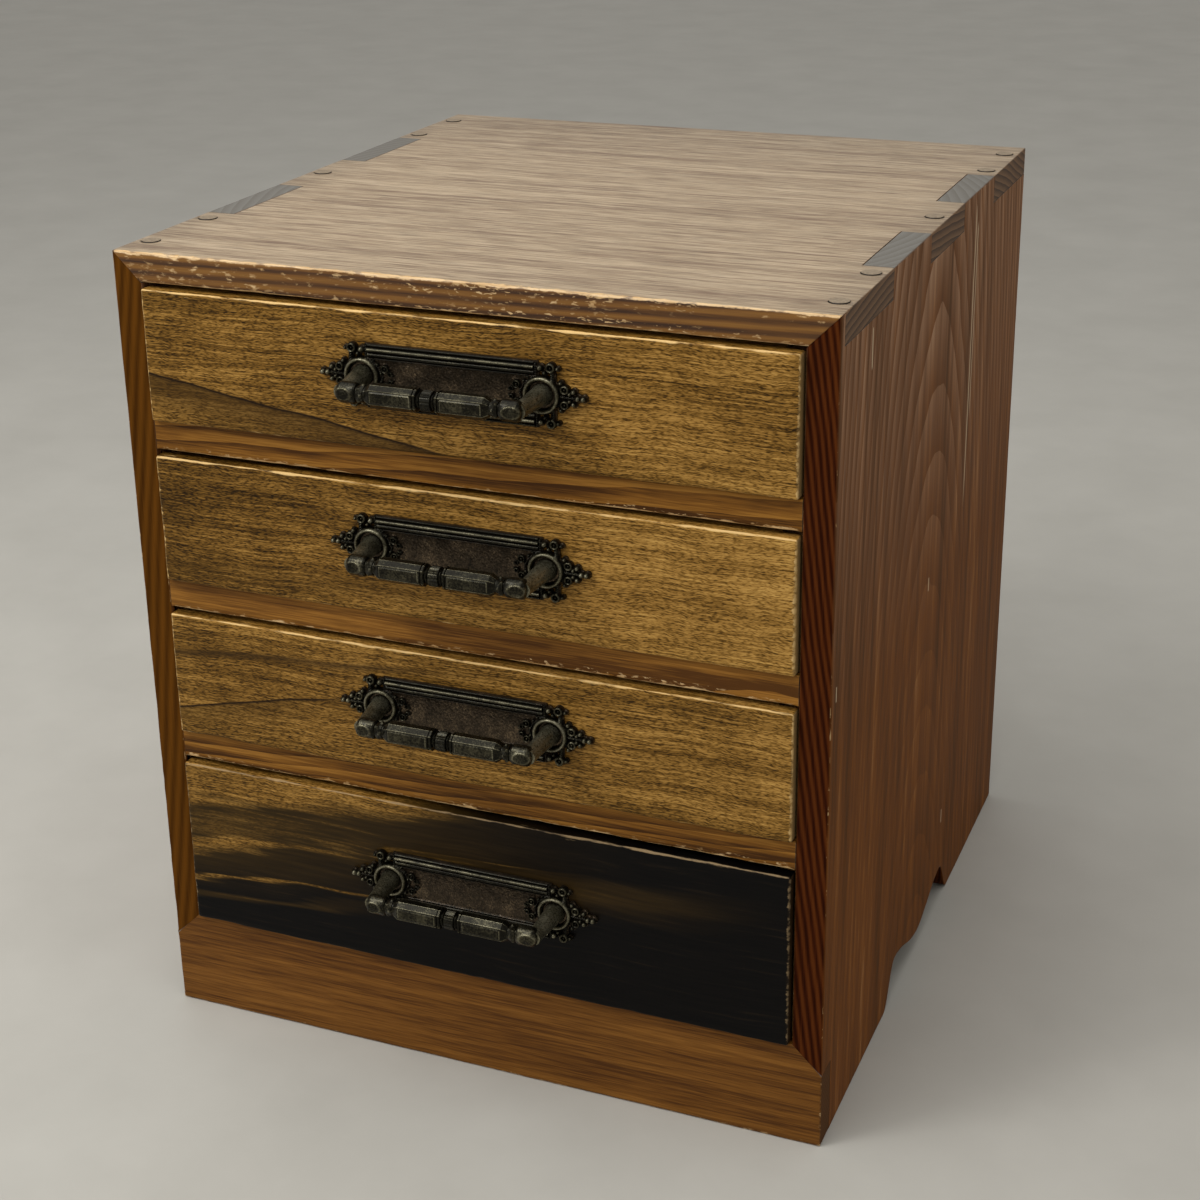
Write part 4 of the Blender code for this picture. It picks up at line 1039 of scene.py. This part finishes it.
def black_figure(put, place, colour):
    """The black heart of the deep drawer's front. Golden wood is left as a wedge at the upper left; from it
    smoky brown and golden streaks run into the black, along a grain rising by one in eight."""
    # Fine streaks are 45 mm long and 2 mm across, broad ones 140 mm and 9 mm
    fine, broad = grain_layers(put, place, (((0, 0, 0), (22, 90, 480), 3.0, 0.55),
                                            ((3, 0, 1), (7, 30, 110), 2.0, 0.5)), (0.0, math.radians(7), 0.0))
    wander = put("Math", {0: broad, 1: 22 * MM, 2: -11 * MM}, operation="MULTIPLY_ADD")
    wander = put("CombineXYZ", {2: wander})
    drawn = put("VectorMath", {0: place, 1: wander}, operation="ADD")
    level = put("MapRange", {0: streak_mask(put, drawn, *GOLDEN_WEDGE), 1: 0.1, 2: 0.75})
    for tongue in GOLDEN_TONGUES:
        level = put("Math", {0: level, 1: streak_mask(put, drawn, *tongue)}, operation="MAXIMUM")
    stripe = put("MapRange", {0: fine, 1: 0.3, 2: 0.7, 3: 0.6, 4: 1.2})
    level = put("Math", {0: level, 1: stripe}, operation="MULTIPLY")
    night = put("ValToRGB", {0: fine}, stops=((0.4, "#040303"), (0.6, "#080605"), (0.75, "#1D150C")))
    smoke = put("MapRange", {0: level, 1: 0.0, 2: 0.45})
    dusk = put("Mix", {0: smoke, 6: night, 7: linear("#3A2A0F")}, 2, data_type="RGBA")
    gold = put("MapRange", {0: level, 1: 0.33, 2: 0.82})
    return put("Mix", {0: gold, 6: dusk, 7: colour}, 2, data_type="RGBA")


def bare_softwood(name, along, seed, tones, joints=0.0):
    """Bare pale softwood of the drawer boxes, runners and panels, planed and left unoiled: straight brown
    growth lines and a dry, matt surface. A panel glued up from boards of the height `joints` has a
    dark line at each joint, and each board its own figure and tone."""
    surface, put, shader = new_surface(name)
    place = put("TexCoord", out=3)
    tint = line = 0.0
    if joints:
        height = put("SeparateXYZ", {0: place}, 2)
        boards = put("Math", {0: height, 1: joints}, operation="DIVIDE")
        number = put("Math", {0: boards}, operation="FLOOR")
        part = put("Math", {0: boards}, operation="FRACT")
        line = put("MapRange", {0: part, 1: 0.0, 2: 1.1 * MM / joints, 3: 0.85, 4: 0.0})
        tint = put("TexWhiteNoise", {"W": number}, noise_dimensions="1D")
        apart = put("CombineXYZ", {0: number, 1: number})
        place = put("VectorMath", {0: place, 1: apart}, operation="ADD")
    long_way = {"x": (1, 50, 50), "y": (50, 1, 50)}[along]
    # Broad shades are 1.2 m long and 25 mm across, growth lines 170 mm and 3 mm, fibres 30 mm and 0.6 mm
    rows = [((seed, 0, seed), tuple(scale * side for side in long_way), detail, 0.5)
            for scale, detail in ((0.8, 3.0), (6.0, 3.0), (34.0, 2.0))]
    tone = 0.0
    for layer, weight in zip((*grain_layers(put, place, rows), tint), (0.45, 0.7, 0.35, 0.12)):
        tone = put("Math", {0: layer, 1: weight, 2: tone}, operation="MULTIPLY_ADD")
    colour = put("ValToRGB", {0: tone}, stops=tuple(zip((0.55, 0.75, 0.95), tones)))
    colour = put("Mix", {0: line, 6: colour, 7: linear("#20150C")}, 2, data_type="RGBA")
    relief = put("Math", {0: line, 1: -4.0, 2: tone}, operation="MULTIPLY_ADD")
    connect(shader, {"Base Color": colour, "Roughness": 0.62, "Specular IOR Level": 0.2,
                     "Normal": put("Bump", {"Strength": 0.2, "Distance": 0.12 * MM, "Height": relief})})
    return surface


def plug_wood(name):
    """Round plugs cut from the same softwood, weathered like the top: tan end grain, and dark down their
    sides where they go into the holes: painted shade of the gap round each plug, partly dirt."""
    surface, put, shader = new_surface(name)
    grains = put("TexNoise", {"Vector": put("TexCoord", out=3), "Scale": 900.0, "Detail": 3.0})
    colour = put("ValToRGB", {0: grains}, stops=((0.3, "#97866E"), (0.7, "#756552")))
    wall = put("Attribute", out=2, attribute_name="wall")
    # The sides' dark colour is painted shade in the gap round the plug, partly dirt
    colour = put("Mix", {0: wall, 6: colour, 7: linear("#1E1711")}, 2, data_type="RGBA")
    connect(shader, {"Base Color": colour, "Roughness": 0.5, "Specular IOR Level": 0.3,
                     "Normal": put("Bump", {"Strength": 0.3, "Distance": 0.1 * MM, "Height": grains})})
    return surface


def blackened_bronze(name):
    """Cast bronze, chemically blackened: near-black in the hollows, rubbed to a dull olive grey on what
    stands out, with the sandy skin of the mould under a thin wax polish. On the bar and arms its tone also
    carries painted light and painted glints."""
    surface, put, shader = new_surface(name)
    place = put("TexCoord", out=3)
    # On the plate the relief is its height; on the bar and arms it also holds painted light and painted
    # glints
    relief = put("Attribute", out=2, attribute_name="relief")
    # The mould's skin has a grit of about 0.8 mm, with cloudy wear of about 8 mm
    grit = put("TexNoise", {"Vector": place, "Scale": 1200.0, "Detail": 2.5, "Roughness": 0.6})
    cloud = put("TexNoise", {"Vector": place, "Scale": 120.0, "Detail": 3.0})
    tone = -0.2
    for layer, weight in ((grit, 0.45), (cloud, 0.35), (relief, 0.5)):
        tone = put("Math", {0: layer, 1: weight, 2: tone}, operation="MULTIPLY_ADD")
    colour = put("ValToRGB", {0: tone}, stops=((0.05, "#6B5B46"), (0.17, "#40362A"), (0.28, "#2A231A"),
                                               (0.37, "#12110C"), (0.46, "#1F1D15"), (0.62, "#4F4B3A"),
                                               (0.9, "#A09B84")))
    connect(shader, {"Base Color": colour, "Metallic": 0.8, "Specular IOR Level": 0.2, "Coat Weight": 0.05,
                     "Coat Roughness": 0.16, "Coat Tint": linear("#E6DCC0"),
                     "Roughness": put("MapRange", {0: grit, 1: 0.3, 2: 0.7, 3: 0.24, 4: 0.38}),
                     "Normal": put("Bump", {"Strength": 0.15, "Distance": 0.15 * MM, "Height": grit})})
    return surface


def plated_steel(name):
    """Zinc-plated steel of the pulls' nuts and washers: dull silver with a faint yellow bloom."""
    surface, put, shader = new_surface(name)
    bloom = put("TexNoise", {"Vector": put("TexCoord", out=3), "Scale": 700.0, "Detail": 2.0})
    colour = put("ValToRGB", {0: bloom}, stops=((0.3, "#A9A69C"), (0.7, "#8C8671")))
    connect(shader, {"Base Color": colour, "Metallic": 1.0, "Roughness": 0.38})
    return surface


def studio_floor():
    """A pale, plain floor under the chest."""
    bpy.ops.mesh.primitive_plane_add(size=12, location=(0, 0, -0.3 * MM))
    floor = bpy.context.object
    floor.name = "studio_floor"
    surface, put, shader = new_surface("pale_matt_floor")
    cloud = put("TexNoise", {"Vector": put("TexCoord", out=3), "Scale": 9.0, "Detail": 6.0, "Roughness": 0.6})
    colour = put("ValToRGB", {0: cloud}, stops=((0.3, "#B5B2A9"), (0.7, "#BEBBB2")))
    connect(shader, {"Base Color": colour, "Roughness": 0.6})
    floor.data.materials.append(surface)


def studio_light():
    """A soft overhead sheet of light in front and to the left, and an even pale surround."""
    world = bpy.data.worlds.new("pale_studio")
    world.use_nodes = True
    connect(world.node_tree.nodes["Background"], {"Color": (1.0, 0.985, 0.96, 1.0), "Strength": 0.46})
    bpy.context.scene.world = world
    lamps = (("overhead_sheet", (-0.25, -0.6, 1.8), 1.8, 21.0),
             ("front_left_sheet", (-1.4, -1.9, 1.1), 1.2, 6.0),
             ("small_key", (-0.75, -0.95, 1.5), 0.4, 6.0))
    for name, place, size, power in lamps:
        lamp = bpy.data.lights.new(name, "AREA")
        lamp.shape = "SQUARE"
        lamp.size = size
        lamp.energy = power
        holder = bpy.data.objects.new(name, lamp)
        holder.location = place
        aim = Vector((0.0, 0.0, HEIGHT / 2)) - Vector(place)
        holder.rotation_euler = aim.to_track_quat("-Z", "Y").to_euler()
        bpy.context.scene.collection.objects.link(holder)


def photo_camera():
    """The camera at the photograph's place: turned by yaw, then pitch, then roll."""
    data = bpy.data.cameras.new("photo_camera")
    data.sensor_width = SENSOR
    data.lens = FOCAL_PIXELS / IMAGE_PIXELS * SENSOR
    data.shift_y = (IMAGE_CENTRE_ROW - IMAGE_PIXELS / 2) / IMAGE_PIXELS
    camera = bpy.data.objects.new("photo_camera", data)
    level = np.array([math.cos(CAMERA_YAW), -math.sin(CAMERA_YAW), 0.0])
    ahead = np.array([math.sin(CAMERA_YAW), math.cos(CAMERA_YAW), 0.0])
    forward = ahead * math.cos(CAMERA_PITCH) + np.array([0.0, 0.0, math.sin(CAMERA_PITCH)])
    up = np.cross(level, forward)
    right = level * math.cos(CAMERA_ROLL) + up * math.sin(CAMERA_ROLL)
    turn = np.stack([right, np.cross(right, forward), -forward], axis=1)
    camera.matrix_world = Matrix.Translation(CAMERA_PLACE) @ Matrix(turn.tolist()).to_4x4()
    bpy.context.scene.collection.objects.link(camera)
    bpy.context.scene.camera = camera


def dress_inner_nodes():
    """Bare wood for the pieces inside, whose edges get a hair of rounding: the grain of sides and runners
    runs front to back, that of backs and bottoms across."""
    straw = ("#C9A878", "#B8935F", "#8F6A3E")
    aged = ("#A07C50", "#86633A", "#5F4223")
    deep = bare_softwood("bare_pale_softwood_lengthwise", "y", 1, straw)
    wide = bare_softwood("bare_pale_softwood_crosswise", "x", 2, straw)
    back = bare_softwood("bare_aged_softwood_boards", "x", 3, aged, 122 * MM)
    kinds = {"back_panel": back, "bottom_panel": wide}
    kinds.update({f"runner_{hand}_{number}": deep for hand, _ in SIDES for number in DRAWERS[:-1]})
    for number in DRAWERS:
        kinds.update({f"drawer_{number}_{hand}_side": deep for hand, _ in SIDES})
        kinds.update({f"drawer_{number}_{part}": wide for part in ("back", "bottom")})
    for name, surface in kinds.items():
        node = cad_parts[name]
        node.data.materials.clear()
        node.data.materials.append(surface)
        weld = node.modifiers.new("weld", "WELD")
        weld.merge_threshold = 0.01 * MM
        soften = node.modifiers.new("soften", "BEVEL")
        soften.width = 0.5 * MM
        soften.segments = 2
        soften.limit_method = "ANGLE"
        soften.angle_limit = math.radians(40)


def make_carcass():
    """The boards and plugs of the carcass, each in its own wood."""
    make_top(softwood("oiled_softwood_top", "x", (0, 0.05, 0.24), (0, 0.03, 0), 4.0 * MM,
                      ((0.37, "#BCA688"), (0.65, "#A38D70"), (0.94, "#7B634D")),
                      ((0.2, "#80561F"), (0.5, "#664013"), (0.85, "#371D05")), 3, sheen=0.4,
                      weights=(0.1, 0.8, 0.36), lined=0.3, ends=("#7F6044", "#443123"), edge_ring=5.2,
                      flecked=0.36, grime=0.2))
    make_plugs(plug_wood("weathered_plug_end_grain"))
    side_face = ((0.22, "#56361A"), (0.55, "#714420"), (0.77, "#855225"), (0.95, "#A27448"))
    stiles = {"left": ((0.15, "#623B10"), (0.5, "#55330D"), (0.9, "#3F2308")),
              "right": ((0.2, "#552B10"), (0.55, "#3F1B0A"), (0.8, "#2A1006"))}
    stile_ring = {"left": 3.6, "right": 2.1}
    for hand, sign in SIDES:
        scratches = ((sign * 0.006 + 0.078, 0.24, 0.41), (sign * 0.004 + 0.085, 0.29, 0.40),
                     (-0.121, 0.378, 0.398), (0.009, 0.220, 0.228), (0.066, 0.053, 0.062),
                     (-0.166, 0.235, 0.243))
        wood = softwood(f"oiled_softwood_{hand}_side", "z", (0, -0.006, 0.043 * sign), (0, 0.27 * sign, 0),
                        5.0 * MM, side_face, stiles[hand], 5 + sign, sheen=0.01, weights=(0.14, 0.34, 0.58),
                        ends=("#797670", "#6D6962"), edge_ring=stile_ring[hand], upper_light_and_wear=0.75,
                        scratches=scratches)
        make_side(hand, sign, wood)
    tones = ((0.25, "#865822"), (0.55, "#6E4517"), (0.82, "#4E2D0D"))
    make_plinth(softwood("oiled_softwood_plinth", "x", (0, 0.03, 0.2), (0, 0.1, 0), 3.4 * MM, tones, tones, 9,
                         weights=(0.15, 0.45, 0.5), ends=("#5C3B1C", "#4A2D14")))
    brown = ((0.3, "#9C6C2B"), (0.55, "#7A4F1A"), (0.84, "#442709"))
    paler = ((0.3, "#B07C36"), (0.55, "#8E5F24"), (0.84, "#553310"))
    for number, tones in ((1, brown), (2, paler), (3, brown)):
        wood = softwood(f"oiled_softwood_rail_{number}", "x", (0, 0.02 * number, -0.25), (0, 0.1, 0),
                        3.4 * MM, tones, tones, 12 + number, weights=(0.4, 0.35, 0.5))
        make_rail(number, wood)


def make_drawers():
    """The four drawer fronts and their pulls; the deep front is the black one."""
    streaks = {1: [((-0.161, 0.361), -0.152, 1.0 * MM, 2.4 * MM, (-0.03, 0.03), 1.0, "#1C1006"),
                   ((-0.161, 0.360), -0.152, 0.5 * MM, 26 * MM, (-0.04, 0.06), 0.72, "#3E2A0D")],
               2: [((-0.164, 0.262), 0.02, 9 * MM, 9 * MM, (-0.06, 0.1), 0.3, "#4A330F")],
               3: [((-0.164, 0.183), 0.216, 0.8 * MM, 1.7 * MM, (-0.09, -0.05), 1.0, "#1C1006"),
                   ((-0.164, 0.182), 0.216, 0.5 * MM, 16 * MM, (-0.12, -0.05), 0.45, "#45300F"),
                   ((-0.164, 0.214), 0.083, 2.5 * MM, 4.0 * MM, (-0.06, 0.03), 0.7, "#3A2810")],
               4: []}
    brighter = {1: 0.3, 2: 1.4, 3: 0.4, 4: 0.0}
    for number in DRAWERS:
        deep = number == DRAWERS[-1]
        wood = hardwood(f"oiled_hardwood_front_{number}", 20 + 3 * number, brighter[number], streaks[number],
                        black_figure if deep else None)
        make_drawer_front(number, wood)
    make_pulls(blackened_bronze("blackened_cast_bronze"), plated_steel("zinc_plated_steel"))


def main():
    """The camera, the stage and the chest."""
    bpy.context.scene.view_settings.view_transform = "Standard"
    photo_camera()
    studio_floor()
    studio_light()
    make_carcass()
    make_drawers()
    dress_inner_nodes()


main()
bpy.context.view_layer.update()
